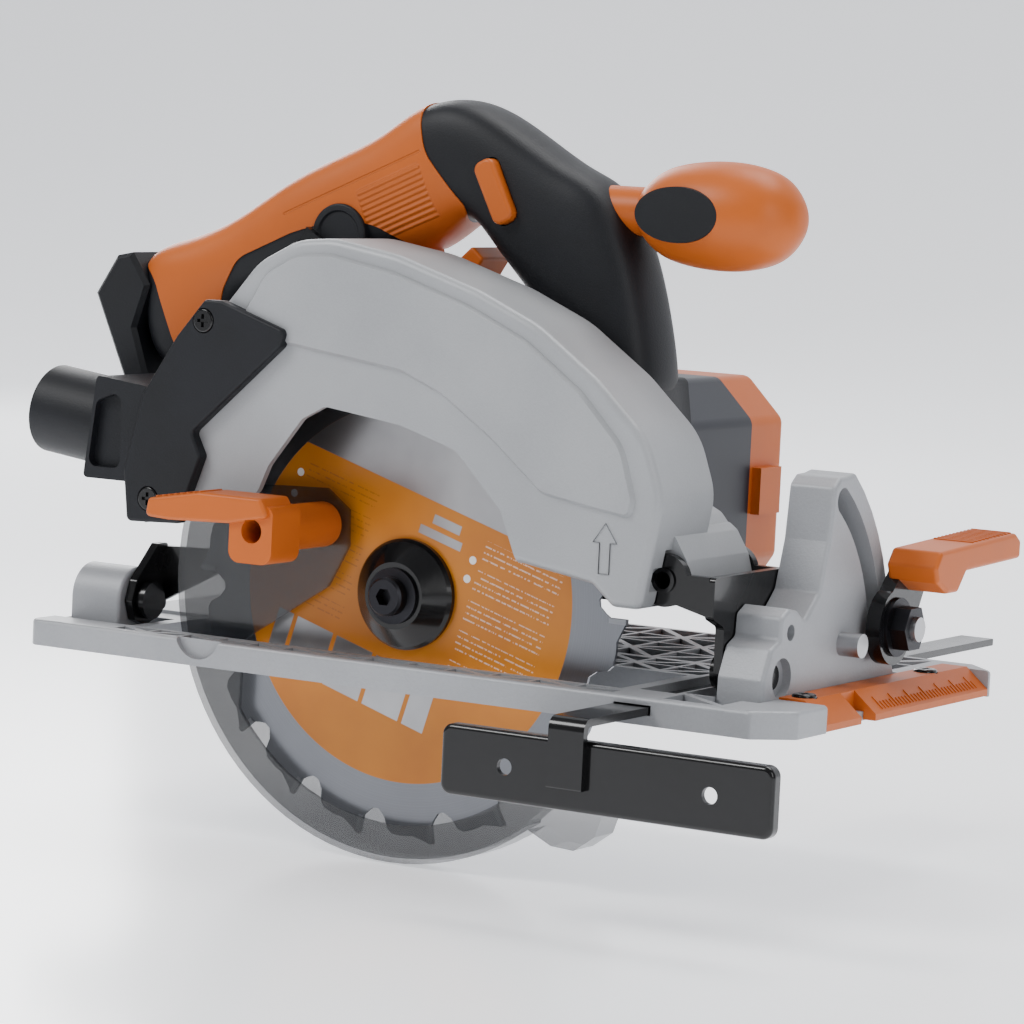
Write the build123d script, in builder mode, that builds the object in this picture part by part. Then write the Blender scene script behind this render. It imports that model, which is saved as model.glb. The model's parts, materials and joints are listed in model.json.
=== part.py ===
from build123d import *
import math
import os

os.makedirs("parts", exist_ok=True)

# Cordless circular saw for a 165 mm blade, blade on the near side (-Y).
# +X is the cutting direction, +Y the motor side, +Z up. The origin lies on the sole, under the arbor,
# in the blade's mid plane. Millimetres.

# ---------------------------------------------------------------- driving dimensions
# blade and arbor
BLADE_R = 82.5
BLADE_T = 1.2
TOOTH_COUNT = 18
TIP_T = 1.8
TIP_H = 6.2
TIP_ANGLE = 1.25
BORE_R = 10.0
ARBOR_Z = 28.0
ARBOR_R = 8.0
ARBOR_JOURNAL_R = 6.0
ARBOR_END_R = 4.0
BOLT_R = 4.0
OUTER_FLANGE_R = 18.3
INNER_FLANGE_R = 17.0
FLANGE_CONE_Y = 8.4
BOLT_HEAD_R = 6.4

# clearances
RUN = 0.05
GAP = 0.4

# gear train, two stages, all axes along Y
MODULE = 1.0
TEETH_OUTPUT = 36
TEETH_SMALL = 16
TEETH_MIDDLE = 32
TEETH_MOTOR = 12
MIDDLE_ANGLE = 50.0
MOTOR_ANGLE = 38.0
FACE_OUTPUT = (17.0, 25.0)
FACE_MIDDLE = (27.0, 32.0)
BACKLASH = 0.14

# upper guard casting
GUARD_NEAR_Y = -24.0
GUARD_WALL = 2.5
GUARD_BACK_Y = 8.0
GUARD_BACK_T = 3.0
RIDGE_T = 1.6
BOSS_R = 19.0
BEARING_R = 14.0
BOSS_FACE_Y = 4.9

# lower guard
LOWER_R = 88.3
LOWER_WALL = 1.5
LOWER_NEAR_Y = -5.6
LOWER_FAR_Y = 6.4
LEVER_X = -31.0
LEVER_Z = 48.5
LEVER_BARREL_R = 7.5

# base
BASE_REAR_X = -132.0
BASE_FRONT_X = 154.5
BASE_NEAR_Y = -30.4
BASE_FAR_Y = 133.0
BASE_H = 8.7
SOLE_T = 3.0
BASE_CORNER = 11.0
SLOT_REAR_X = -99.0
SLOT_FRONT_X = 91.0
SLOT_NEAR_Y = -17.0
SLOT_FAR_Y = 27.0
RIB_PITCH = 15.0
RIB_T = 1.6

# front depth pivot, tilt axis
DEPTH_X = 102.5
DEPTH_Z = 43.6
DEPTH_PIN_R = 4.0
DEPTH_BOSS_R = 8.0
DEPTH_EAR_R = 8.4
TILT_Y = 2.5
TILT_Z = 15.0
TILT_PIN_R = 4.0
TILT_RANGE = 45.0
STEEL_T = 3.0

# tilt quadrant
QUAD_REAR_X = 121.0
QUAD_FRONT_X = 137.0
QUAD_PLATE_T = 8.0
QUAD_R = 76.8
QUAD_SLOT_R = 65.0
CLAMP_ANGLE = 10.5
CLAMP_BOLT_R = 4.0

# depth guide
GUIDE_R = 178.0
GUIDE_Y = 11.6
GUIDE_T = 2.5
GUIDE_W = 17.0

# fence
BAR_X = 102.5
BAR_W = 12.4
BAR_T = 2.5
BAR_Z = 3.5
BAR_NEAR_Y = -70.5
BAR_FAR_Y = 225.0
FENCE_X = (57.0, 172.0)
FENCE_Z = (-23.0, -1.0)
FENCE_HOLE_R = 2.6
FENCE_HOLES_X = (80.0, 151.0)

# motor
MOTOR_CAN_R = 27.0
HOUSING_HALF_W = 33.0
FAN_BAY_R = 31.0
HOUSING_BOTTOM_Z = 26.5
HOUSING_TOP_Z = 100.0
HOUSING_CORNER = 14.0
GEARBOX_Y = (11.0, 52.0)
HOUSING_SEAM_Y = 108.0
HOUSING_END_Y = 133.0
HOUSING_WALL = 3.0

# handle
HANDLE_Y = 32.0
HANDLE_HALF = 17.0
HANDLE_WALL = 3.0
GRIP_SKIN = 2.4
DECK_Z = 97.0
KNOB_END_X = 121.0
KNOB_Z = 156.5
KNOB_R = 17.5
INSERT_CENTRE_X = 84.0

# dust port
PORT_TUBE_R = 15.0
PORT_BORE_R = 12.8
PORT_HOLE_EASE = 0.4
PORT_X = -98.0
PORT_Y = -9.0
PORT_Z = 73.5
PORT_TILT = 7.0
PORT_END_X = -140.0
PORT_PLATE_T = 4.0
PORT_SCREWS = ((-66.5, 113.6), (-86.0, 53.2))

# ---------------------------------------------------------------- worked-out places
CENTRE_1 = MODULE * (TEETH_OUTPUT + TEETH_SMALL) / 2
CENTRE_2 = MODULE * (TEETH_MIDDLE + TEETH_MOTOR) / 2
MIDDLE_X = CENTRE_1 * math.cos(math.radians(MIDDLE_ANGLE))
MIDDLE_Z = ARBOR_Z + CENTRE_1 * math.sin(math.radians(MIDDLE_ANGLE))
MOTOR_X = MIDDLE_X + CENTRE_2 * math.cos(math.radians(MOTOR_ANGLE))
MOTOR_Z = MIDDLE_Z + CENTRE_2 * math.sin(math.radians(MOTOR_ANGLE))
CLAMP_Y = TILT_Y + QUAD_SLOT_R * math.cos(math.radians(CLAMP_ANGLE))
CLAMP_Z = TILT_Z + QUAD_SLOT_R * math.sin(math.radians(CLAMP_ANGLE))
GUARD_FAR_Y = GUARD_BACK_Y + GUARD_BACK_T
ARM_FAR_Y = 30.6
GUARD_INNER_Y = GUARD_NEAR_Y + GUARD_WALL
BRACKET_X = (QUAD_REAR_X - GAP - STEEL_T, QUAD_REAR_X - GAP)


def side(y):
    """Sketch plane facing the near side: sketch x is X, sketch y is Z, extrude goes towards -Y."""
    return Plane.XZ.offset(-y)


def front(x):
    """Sketch plane facing forward: sketch x is Y, sketch y is Z, extrude goes towards +X."""
    return Plane.YZ.offset(x)


def axis_y(x, z):
    return Axis((x, 0, z), (0, 1, 0))


def turned(x, z, profile):
    """Solid turned about a line along Y through (x, z); the profile is a list of (radius, y)."""
    with BuildPart() as piece:
        with BuildSketch(Plane((x, 0, z))):
            with BuildLine():
                Polyline(*profile, close=True)
            make_face()
        revolve(axis=axis_y(x, z))
    return piece.part


def ring(x, z, outer, inner, y0, y1):
    """Plain ring about a line along Y."""
    return turned(x, z, [(inner, y0), (outer, y0), (outer, y1), (inner, y1)])


def slab(points, y0, y1, radius=0.0):
    """Prism of a closed XZ outline between two Y values, with its corners rounded when asked."""
    with BuildPart() as piece:
        with BuildSketch(side(y1)):
            with BuildLine():
                if radius:
                    FilletPolyline(*points, radius=radius, close=True)
                else:
                    Polyline(*points, close=True)
            make_face()
        extrude(amount=y1 - y0)
    return piece.part


def wall(points, x0, x1, radius=0.0):
    """Prism of a closed YZ outline between two X values."""
    with BuildPart() as piece:
        with BuildSketch(front(x0)):
            with BuildLine():
                if radius:
                    FilletPolyline(*points, radius=radius, close=True)
                else:
                    Polyline(*points, close=True)
            make_face()
        extrude(amount=x1 - x0)
    return piece.part


def block(x, y, z):
    """Box from three (low, high) pairs."""
    with BuildPart() as piece:
        with BuildSketch(Plane.XY.offset(z[0])):
            with Locations(((x[0] + x[1]) / 2, (y[0] + y[1]) / 2)):
                Rectangle(x[1] - x[0], y[1] - y[0])
        extrude(amount=z[1] - z[0])
    return piece.part


def rod_x(y, z, radius, x0, x1):
    """Round bar along X."""
    with BuildPart() as piece:
        with BuildSketch(front(x0)):
            with Locations((y, z)):
                Circle(radius)
        extrude(amount=x1 - x0)
    return piece.part


def rod_y(x, z, radius, y0, y1):
    """Round bar along Y."""
    with BuildPart() as piece:
        with BuildSketch(side(y1)):
            with Locations((x, z)):
                Circle(radius)
        extrude(amount=y1 - y0)
    return piece.part


def rod_z(x, y, radius, z0, z1):
    """Round bar along Z."""
    with BuildPart() as piece:
        with BuildSketch(Plane.XY.offset(z0)):
            with Locations((x, y)):
                Circle(radius)
        extrude(amount=z1 - z0)
    return piece.part


def polar(radius, degrees, x=0.0, z=ARBOR_Z):
    angle = math.radians(degrees)
    return (x + radius * math.cos(angle), z + radius * math.sin(angle))


def arc_points(radius, start, end, steps, x=0.0, z=ARBOR_Z):
    return [polar(radius, start + (end - start) * i / steps, x, z) for i in range(steps + 1)]


def save(piece, name):
    """Label one finished piece and write it; a single solid is written as a solid."""
    solids = piece.solids()
    result = solids[0] if len(solids) == 1 else Compound(children=list(solids))
    result.label = name
    export_step(result, f"parts/{name}.step")


def gear_outline(teeth, phase, x, z):
    """Involute outline with a tooth centred at the phase angle (degrees)."""
    pitch_r = MODULE * teeth / 2
    base_r = pitch_r * math.cos(math.radians(20))
    tip_r = pitch_r + 0.75 * MODULE
    root_r = pitch_r - 1.05 * MODULE
    half_tooth = (math.pi * MODULE / 2 - BACKLASH) / 2 / pitch_r
    involute_pitch = math.tan(math.radians(20)) - math.radians(20)
    flank = []
    for i in range(5):
        r = max(base_r, root_r + 0.01) + (tip_r - max(base_r, root_r + 0.01)) * i / 4
        alpha = math.acos(min(1.0, base_r / r))
        flank.append((r, half_tooth + involute_pitch - (math.tan(alpha) - alpha)))
    points = []
    for k in range(teeth):
        centre = math.radians(phase) + 2 * math.pi * k / teeth
        points.append((root_r, centre - flank[0][1] - 0.01))
        points += [(r, centre - a) for r, a in flank]
        points += [(r, centre + a) for r, a in reversed(flank)]
        points.append((root_r, centre + flank[0][1] + 0.01))
    return [(x + r * math.cos(a), z + r * math.sin(a)) for r, a in points]


def gear(teeth, phase, x, z, bore, y0, y1):
    with BuildPart() as piece:
        add(slab(gear_outline(teeth, phase, x, z), y0, y1))
        if bore:
            add(rod_y(x, z, bore, y0 - 1, y1 + 1), mode=Mode.SUBTRACT)
    return piece.part


def tapped_screw(x, y, z, head_r, head_h, shank_r, shank, direction):
    """Cross-head screw whose head sits on the point given; direction is the way its shank runs."""
    plane = Plane(origin=(x, y, z), z_dir=direction)
    with BuildPart() as piece:
        with BuildSketch(plane):
            Circle(shank_r)
        extrude(amount=shank)
        with BuildSketch(plane):
            Circle(head_r)
        extrude(amount=-head_h)
        fillet(piece.edges().filter_by(GeomType.CIRCLE).sort_by(Axis(plane.origin, plane.z_dir))[0], head_h * 0.35)
        with BuildSketch(plane.offset(-head_h)):
            Rectangle(head_r * 1.1, head_r * 0.28)
            Rectangle(head_r * 0.28, head_r * 1.1)
        extrude(amount=head_h * 0.55, mode=Mode.SUBTRACT)
    return piece.part


# ================================================================ blade and arbor
def make_blade():
    """Thin disc with raked teeth, round gullets and shoulders that limit the bite."""
    profile = [(76.3, 0.0), (74.6, 0.9), (72.6, 2.4), (72.4, 4.2), (74.6, 6.2), (78.4, 7.4),
               (79.8, 8.9), (80.0, 12.0), (79.6, 14.6)]
    scale = BLADE_R / 82.5
    outline = []
    for k in range(TOOTH_COUNT):
        tip = 360 / TOOTH_COUNT * k
        outline.append(polar(BLADE_R - 0.4, tip - TIP_ANGLE))
        outline.append(polar(BLADE_R - TIP_H, tip - TIP_ANGLE))
        outline += [polar(r * scale, tip + a * 18 / TOOTH_COUNT) for r, a in profile]
    with BuildPart() as blade:
        add(slab(outline, -BLADE_T / 2, BLADE_T / 2))
        add(rod_y(0, ARBOR_Z, BORE_R, -5, 5), mode=Mode.SUBTRACT)
    return blade.part


def make_tips():
    """Carbide tips brazed to the leading face of each tooth."""
    with BuildPart() as tips:
        for k in range(TOOTH_COUNT):
            a = 360 / TOOTH_COUNT * k
            corners = [polar(BLADE_R - TIP_H, a - TIP_ANGLE), polar(BLADE_R, a - TIP_ANGLE),
                       polar(BLADE_R, a), polar(BLADE_R - TIP_H, a)]
            add(slab(corners, -TIP_T / 2, TIP_T / 2))
    return tips.part


def make_arbor_bolt():
    head_y = -BLADE_T / 2 - FLANGE_CONE_Y
    with BuildPart() as bolt:
        add(turned(0, ARBOR_Z, [(0, head_y + 20), (BOLT_R, head_y + 20), (BOLT_R, head_y),
                                (9.2, head_y), (9.2, head_y - 1.2), (BOLT_HEAD_R, head_y - 1.6),
                                (BOLT_HEAD_R, head_y - 5.2), (BOLT_HEAD_R - 0.8, head_y - 6.0), (0, head_y - 6.0)]))
        with BuildSketch(side(head_y - 2.4)):
            with Locations((0, ARBOR_Z)):
                RegularPolygon(3.0, 6)
        extrude(amount=5, mode=Mode.SUBTRACT)
    return bolt.part


save(make_blade(), "saw_blade")
save(make_tips(), "carbide_tips")
save(turned(0, ARBOR_Z, [(BOLT_R + 0.2, -BLADE_T / 2), (OUTER_FLANGE_R, -BLADE_T / 2),
                         (OUTER_FLANGE_R, -BLADE_T / 2 - 1.8), (OUTER_FLANGE_R - 1.0, -BLADE_T / 2 - 3.0),
                         (11.0, -BLADE_T / 2 - FLANGE_CONE_Y), (BOLT_R + 0.2, -BLADE_T / 2 - FLANGE_CONE_Y)]),
     "outer_flange")
save(turned(0, ARBOR_Z, [(ARBOR_R + RUN, -BLADE_T / 2), (BORE_R - RUN, -BLADE_T / 2), (BORE_R - RUN, BLADE_T / 2),
                         (INNER_FLANGE_R, BLADE_T / 2), (INNER_FLANGE_R, BOSS_FACE_Y - 0.4),
                         (ARBOR_R + RUN, BOSS_FACE_Y - 0.4)]), "inner_flange")
save(make_arbor_bolt(), "arbor_bolt")

WALL_2 = (34.0, 39.0)
ARBOR_BEARING_Y = (BOSS_FACE_Y + 0.5, BOSS_FACE_Y + 8.5)
save(turned(0, ARBOR_Z, [(BOLT_R + RUN, -BLADE_T / 2), (ARBOR_R, -BLADE_T / 2), (ARBOR_R, ARBOR_BEARING_Y[0]),
                         (ARBOR_JOURNAL_R, ARBOR_BEARING_Y[0]), (ARBOR_JOURNAL_R, FACE_MIDDLE[0] - 1),
                         (ARBOR_END_R, FACE_MIDDLE[0] - 1), (ARBOR_END_R, WALL_2[1]), (0, WALL_2[1]), (0, 15),
                         (BOLT_R + RUN, 15)]), "arbor_shaft")
save(gear(TEETH_OUTPUT, MIDDLE_ANGLE, 0, ARBOR_Z, ARBOR_JOURNAL_R, *FACE_OUTPUT), "output_gear")

# ================================================================ countershaft and armature
BACK_1 = MIDDLE_ANGLE + 180 + 180 / TEETH_SMALL
BACK_2 = MOTOR_ANGLE + 180 + 180 / TEETH_MOTOR


def make_countershaft():
    with BuildPart() as shaft:
        add(rod_y(MIDDLE_X, MIDDLE_Z, 4.0, GEARBOX_Y[0] + 0.3, WALL_2[1]))
        add(gear(TEETH_SMALL, BACK_1, MIDDLE_X, MIDDLE_Z, 0, FACE_OUTPUT[0] - 0.5, FACE_OUTPUT[1] + 0.5))
    return shaft.part


def make_armature_shaft():
    with BuildPart() as shaft:
        add(rod_y(MOTOR_X, MOTOR_Z, 4.0, FACE_MIDDLE[1] + 1, 124.0))
        add(gear(TEETH_MOTOR, BACK_2, MOTOR_X, MOTOR_Z, 0, FACE_MIDDLE[0] - 0.5, FACE_MIDDLE[1] + 1))
    return shaft.part


def make_fan():
    """Cooling fan: a disc with radial blades."""
    with BuildPart() as fan:
        add(ring(MOTOR_X, MOTOR_Z, 27.5, 4.0, 41.0, 42.4))
        add(ring(MOTOR_X, MOTOR_Z, 8.0, 4.0, 42.4, 49.0))
        for k in range(11):
            a = 360 / 11 * k
            ends = [polar(10, a - 3, MOTOR_X, MOTOR_Z), polar(27, a + 10, MOTOR_X, MOTOR_Z),
                    polar(27, a + 12.5, MOTOR_X, MOTOR_Z), polar(10, a + 4, MOTOR_X, MOTOR_Z)]
            add(slab(ends, 42.4, 49.0))
    return fan.part


def make_armature_core():
    """Laminated core with slots for the windings."""
    with BuildPart() as core:
        add(ring(MOTOR_X, MOTOR_Z, 22.5, 4.0, 60.0, 94.0))
        for k in range(12):
            a = 30 * k
            slot = [polar(14, a - 9, MOTOR_X, MOTOR_Z), polar(20.5, a - 8, MOTOR_X, MOTOR_Z),
                    polar(23.5, a - 2, MOTOR_X, MOTOR_Z), polar(23.5, a + 2, MOTOR_X, MOTOR_Z),
                    polar(20.5, a + 8, MOTOR_X, MOTOR_Z), polar(14, a + 9, MOTOR_X, MOTOR_Z)]
            add(slab(slot, 59.0, 95.0), mode=Mode.SUBTRACT)
    return core.part


save(make_countershaft(), "countershaft")
save(gear(TEETH_MIDDLE, MOTOR_ANGLE, MIDDLE_X, MIDDLE_Z, 4.0, *FACE_MIDDLE), "middle_gear")
save(make_armature_shaft(), "armature_shaft")
save(make_armature_core(), "armature_core")
save(ring(MOTOR_X, MOTOR_Z, 9.0, 4.0, 98.0, 108.0), "commutator")
save(make_fan(), "cooling_fan")


def bearing(x, z, outer, inner, y0, y1):
    """Sealed ball bearing drawn as one ring with a step between its two races."""
    mid = (outer + inner + RUN) / 2
    return turned(x, z, [(inner + RUN, y0), (mid - 1, y0), (mid - 1, y0 + 0.4), (mid + 1, y0 + 0.4), (mid + 1, y0),
                         (outer, y0), (outer, y1), (inner + RUN, y1)])


def make_bearings():
    with BuildPart() as bearings:
        add(bearing(0, ARBOR_Z, BEARING_R, ARBOR_JOURNAL_R, *ARBOR_BEARING_Y))
        add(bearing(0, ARBOR_Z, 8.0, ARBOR_END_R, *WALL_2))
    return bearings.part


def make_small_bearings():
    with BuildPart() as bearings:
        add(bearing(MIDDLE_X, MIDDLE_Z, 8.0, 4.0, GEARBOX_Y[0], GEARBOX_Y[0] + 4))
        add(bearing(MIDDLE_X, MIDDLE_Z, 8.0, 4.0, *WALL_2))
        add(bearing(MOTOR_X, MOTOR_Z, 8.0, 4.0, *WALL_2))
        add(bearing(MOTOR_X, MOTOR_Z, 8.0, 4.0, 118.0, 123.0))
    return bearings.part


save(make_bearings(), "arbor_bearings")
save(make_small_bearings(), "motor_bearings")

# ================================================================ gearbox and motor housing


def hull_prism(grow, y0, y1):
    """Prism round the arbor and the motor axis."""
    with BuildPart() as piece:
        with BuildSketch(side(y1)):
            with Locations((0, ARBOR_Z)):
                Circle(22.6 + grow)
            with Locations((MOTOR_X, MOTOR_Z)):
                Circle(HOUSING_HALF_W + grow)
            make_hull()
        extrude(amount=y1 - y0)
    return piece.part


def make_gear_housing():
    with BuildPart() as housing:
        add(hull_prism(0, *GEARBOX_Y))
        fillet(housing.edges().group_by(Axis.Y)[-1], 1.5)
        add(block((MOTOR_X - 27, MOTOR_X + 27), (HANDLE_Y - 14, HANDLE_Y + 14), (MOTOR_Z, DECK_Z - 0.1)))
        add(hull_prism(-2.6, GEARBOX_Y[0] + 4.5, WALL_2[0]), mode=Mode.SUBTRACT)
        add(rod_y(MOTOR_X, MOTOR_Z, FAN_BAY_R, WALL_2[1], GEARBOX_Y[1] + 1), mode=Mode.SUBTRACT)
        add(rod_y(0, ARBOR_Z, BEARING_R, 0, GEARBOX_Y[0] + 4.5), mode=Mode.SUBTRACT)
        for x, z in ((0, ARBOR_Z), (MIDDLE_X, MIDDLE_Z), (MOTOR_X, MOTOR_Z)):
            add(rod_y(x, z, 8.0, WALL_2[0] - 1, WALL_2[1] + 1), mode=Mode.SUBTRACT)
        add(rod_y(MIDDLE_X, MIDDLE_Z, 8.0, GEARBOX_Y[0] - 1, GEARBOX_Y[0] + 5), mode=Mode.SUBTRACT)
        add(rod_y(MOTOR_X, MOTOR_Z, 7.0, GEARBOX_Y[0] + 3, WALL_2[0] + 1), mode=Mode.SUBTRACT)
        add(block((-40, 0), (FACE_OUTPUT[0] + 1, FACE_OUTPUT[0] + 1 + 2 * (3 + RUN)),
                  (LOCK_Z - 3 - RUN, LOCK_Z + 3 + RUN)), mode=Mode.SUBTRACT)
    return housing.part


def housing_outline(shrink=0.0):
    """Octagon of the motor housing, corners cut on the front side more than behind."""
    x0 = MOTOR_X - HOUSING_HALF_W + shrink
    x1 = MOTOR_X + HOUSING_HALF_W + shrink * -1
    z0 = HOUSING_BOTTOM_Z + shrink
    z1 = HOUSING_TOP_Z - shrink
    c = HOUSING_CORNER - shrink * 0.6
    return [(x0 + c, z0), (x1 - c * 0.6, z0), (x1, z0 + c * 0.9), (x1, z1 - c), (x1 - c, z1),
            (x0 + c, z1), (x0, z1 - c), (x0, z0 + c)]


def make_motor_housing():
    with BuildPart() as housing:
        add(slab(housing_outline(), GEARBOX_Y[1], HOUSING_SEAM_Y, 5.0))
        fillet(housing.edges().group_by(Axis.Y)[0], 2.0)
        add(rod_y(MOTOR_X, MOTOR_Z, MOTOR_CAN_R + RUN, GEARBOX_Y[1] - 1, HOUSING_SEAM_Y + 1), mode=Mode.SUBTRACT)
        for k in range(5):
            z = HOUSING_BOTTOM_Z + 24 + 6 * k
            vent = block((MOTOR_X - 40, MOTOR_X), (62, 96), (z, z + 2.6))
            add(vent, mode=Mode.SUBTRACT)
    return housing.part


def make_end_cap():
    """Cap with a stepped front flange, bearing seat and air slots."""
    with BuildPart() as cap:
        add(slab(housing_outline(), HOUSING_SEAM_Y, HOUSING_END_Y, 5.0))
        fillet(cap.edges().group_by(Axis.Y)[-1], 4.0)
        add(block((MOTOR_X + HOUSING_HALF_W - 2, MOTOR_X + HOUSING_HALF_W + 3.4), (HOUSING_SEAM_Y + 2, HOUSING_END_Y - 8),
                  (54, 70)))
        add(slab(housing_outline(HOUSING_WALL), HOUSING_SEAM_Y - 1, HOUSING_END_Y - HOUSING_WALL, 3.0),
            mode=Mode.SUBTRACT)
        add(ring(MOTOR_X, MOTOR_Z, 11.0, 8.0, 117.0, HOUSING_END_Y - HOUSING_WALL))
        for k in range(7):
            z = HOUSING_BOTTOM_Z + 19 + 6 * k
            vent = block((MOTOR_X - 17, MOTOR_X + 17), (HOUSING_END_Y - 10, HOUSING_END_Y + 1), (z, z + 2.6))
            add(vent, mode=Mode.SUBTRACT)
    return cap.part


LOCK_Z = ARBOR_Z + 6
save(make_gear_housing(), "gear_housing")
save(make_motor_housing(), "motor_housing")
save(make_end_cap(), "motor_end_cap")
save(ring(MOTOR_X, MOTOR_Z, MOTOR_CAN_R, 24.0, 55.0, 100.0), "motor_can")


def make_brushes():
    with BuildPart() as brushes:
        for s in (-1, 1):
            x = sorted((MOTOR_X + s * 9.4, MOTOR_X + s * 20))
            add(block(x, (100, 106), (MOTOR_Z - 4, MOTOR_Z + 4)))
    return brushes.part


save(make_brushes(), "brush_holders")


def make_spindle_lock():
    """Push button that stops the output gear for blade changes."""
    y = FACE_OUTPUT[0] + 4
    with BuildPart() as lock:
        add(rod_x(y, LOCK_Z, 3.0, -27, -20.6))
        add(rod_x(y, LOCK_Z, 6.0, -31.5, -26.5))
        fillet(lock.edges().filter_by(GeomType.CIRCLE).group_by(Axis.X)[0], 1.5)
    return lock.part


save(make_spindle_lock(), "spindle_lock")

# ================================================================ dust tube axis


def port_plane(x):
    """Plane across the dust tube, whose axis rises a little to the rear."""
    z = PORT_Z + (PORT_X - x) * math.tan(math.radians(PORT_TILT))
    lean = math.radians(PORT_TILT)
    return Plane(origin=(x, PORT_Y, z), x_dir=(0, 1, 0), z_dir=(-math.cos(lean), 0, math.sin(lean)))


def port_tube(radius, x0, x1):
    """Round bar on the dust tube's axis, from x0 back to x1."""
    with BuildPart() as piece:
        with BuildSketch(port_plane(x0)):
            Circle(radius)
        extrude(amount=(x0 - x1) / math.cos(math.radians(PORT_TILT)))
    return piece.part


# ================================================================ upper guard
GUARD_OUTLINE = [(-93.5, 44.0), (-95.0, 62.0), (-88.0, 86.0), (-74.0, 106.0), (-60.0, 121.0), (-49.0, 134.0),
                 (-34.0, 142.0), (-20.0, 143.2), (5.0, 139.3), (35.4, 130.0), (58.0, 120.4), (80.6, 104.8),
                 (99.4, 87.6), (105.8, 69.5), (99.6, 34.5), (89.4, 34.5), (81.8, 41.0), (56.0, 45.0)]
GUARD_RADII = [3.0, 18.0, 25.0, 25.0, 3.0, 20.0, 24.0, 30.0, 40.0, 40.0, 40.0, 40.0, 25.0, 20.0, 3.0, 3.0, 3.0, 3.0]
WINDOW = [(-45.4, 57.8), (-41.0, 68.0), (-28.8, 84.0), (-20.0, 88.8), (9.0, 85.1), (30.1, 78.8), (47.8, 61.3),
          (54.5, 45.5), (60.0, -20.0), (-110.0, -20.0), (-110.0, 53.5), (-72.0, 53.5)]
RIDGE = [(-56.0, 112.0), (-45.0, 131.0), (-33.0, 137.6), (-20.0, 138.4), (4.0, 134.2), (33.0, 125.2), (54.5, 115.8),
         (76.0, 100.8), (91.5, 85.0), (96.6, 69.0), (95.4, 62.5), (75.6, 65.4), (62.8, 67.6), (43.5, 83.2),
         (24.2, 95.9), (8.8, 102.1), (-33.9, 107.6)]
RIDGE_RADII = [3.0, 12.0, 15.0, 18.0, 25.0, 25.0, 25.0, 25.0, 18.0, 5.0, 3.0, 5.0, 8.0, 12.0, 12.0, 12.0, 6.0]


def make_upper_guard():
    """Cast blade cover: near wall with its window, rim, back wall with the bearing boss, pivot arm."""
    with BuildPart() as guard:
        add(slab(GUARD_OUTLINE, GUARD_NEAR_Y, GUARD_FAR_Y, GUARD_RADII))
        fillet(guard.edges().group_by(Axis.Y)[0], 2.6)
        with BuildSketch(side(GUARD_BACK_Y)):
            with BuildLine():
                FilletPolyline(*GUARD_OUTLINE, radius=GUARD_RADII, close=True)
            make_face()
            offset(amount=-GUARD_WALL, mode=Mode.REPLACE)
        extrude(amount=GUARD_BACK_Y - GUARD_INNER_Y, mode=Mode.SUBTRACT)
        add(slab([(-92.0, 20.0), (-92.0, 62.0), (-60.0, 70.0), (60.0, 70.0), (97.2, 62.0), (97.0, 20.0)],
                 GUARD_INNER_Y, GUARD_BACK_Y), mode=Mode.SUBTRACT)
        add(slab(WINDOW, GUARD_NEAR_Y - 5, GUARD_INNER_Y + 1, 4.5), mode=Mode.SUBTRACT)
        with BuildSketch(side(GUARD_NEAR_Y)):
            with BuildLine():
                FilletPolyline(*RIDGE, radius=RIDGE_RADII, close=True)
            make_face()
        extrude(amount=RIDGE_T, taper=35)
        arm = [(98.4, 61.0), (104.0, 57.0), (108.4, 50.0), (110.2, 43.6), (107.0, 37.0), (102.5, 35.7), (98.4, 36.0)]
        add(slab(arm, -10.6, ARM_FAR_Y, 2.0))
        add(slab([(82.0, 70.0), (98.0, 62.0), (108.4, 50.0), (107.0, 37.0), (84.0, 36.0)], GUARD_BACK_Y, ARM_FAR_Y, 3.0))
        add(block((60.0, 98.0), (GUARD_BACK_Y, GUARD_FAR_Y), (40.0, 70.0)))
        back = [(-60.0, 60.0), (-34.0, 34.0), (-21.0, 14.0), (0.0, 7.6), (21.0, 14.0), (40.0, 34.0), (62.0, 60.0)]
        add(slab(back, GUARD_BACK_Y, GUARD_FAR_Y, 6.0))
        add(rod_y(0, ARBOR_Z, BOSS_R, BOSS_FACE_Y, GUARD_FAR_Y))
        add(port_tube(PORT_BORE_R + PORT_HOLE_EASE, -75.0, -110.0), mode=Mode.SUBTRACT)
        add(rod_y(0, ARBOR_Z, BEARING_R, BOSS_FACE_Y + 0.5, 20), mode=Mode.SUBTRACT)
        add(rod_y(0, ARBOR_Z, ARBOR_R + 1.0, 0, 20), mode=Mode.SUBTRACT)
        add(rod_y(DEPTH_X, DEPTH_Z, DEPTH_PIN_R + RUN, -20, 40), mode=Mode.SUBTRACT)
        add(rod_y(DEPTH_X, DEPTH_Z, DEPTH_EAR_R + 1.1, -10.6 - STEEL_T - 1.0, -10.6), mode=Mode.SUBTRACT)
        add(block((DEPTH_X - 1, 125.0), (-10.6 - STEEL_T - 1.0, -10.6), (30.0, DEPTH_Z + DEPTH_EAR_R + 0.6)),
            mode=Mode.SUBTRACT)
    return guard.part


UPPER_GUARD = make_upper_guard()
save(UPPER_GUARD, "upper_guard")


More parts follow.
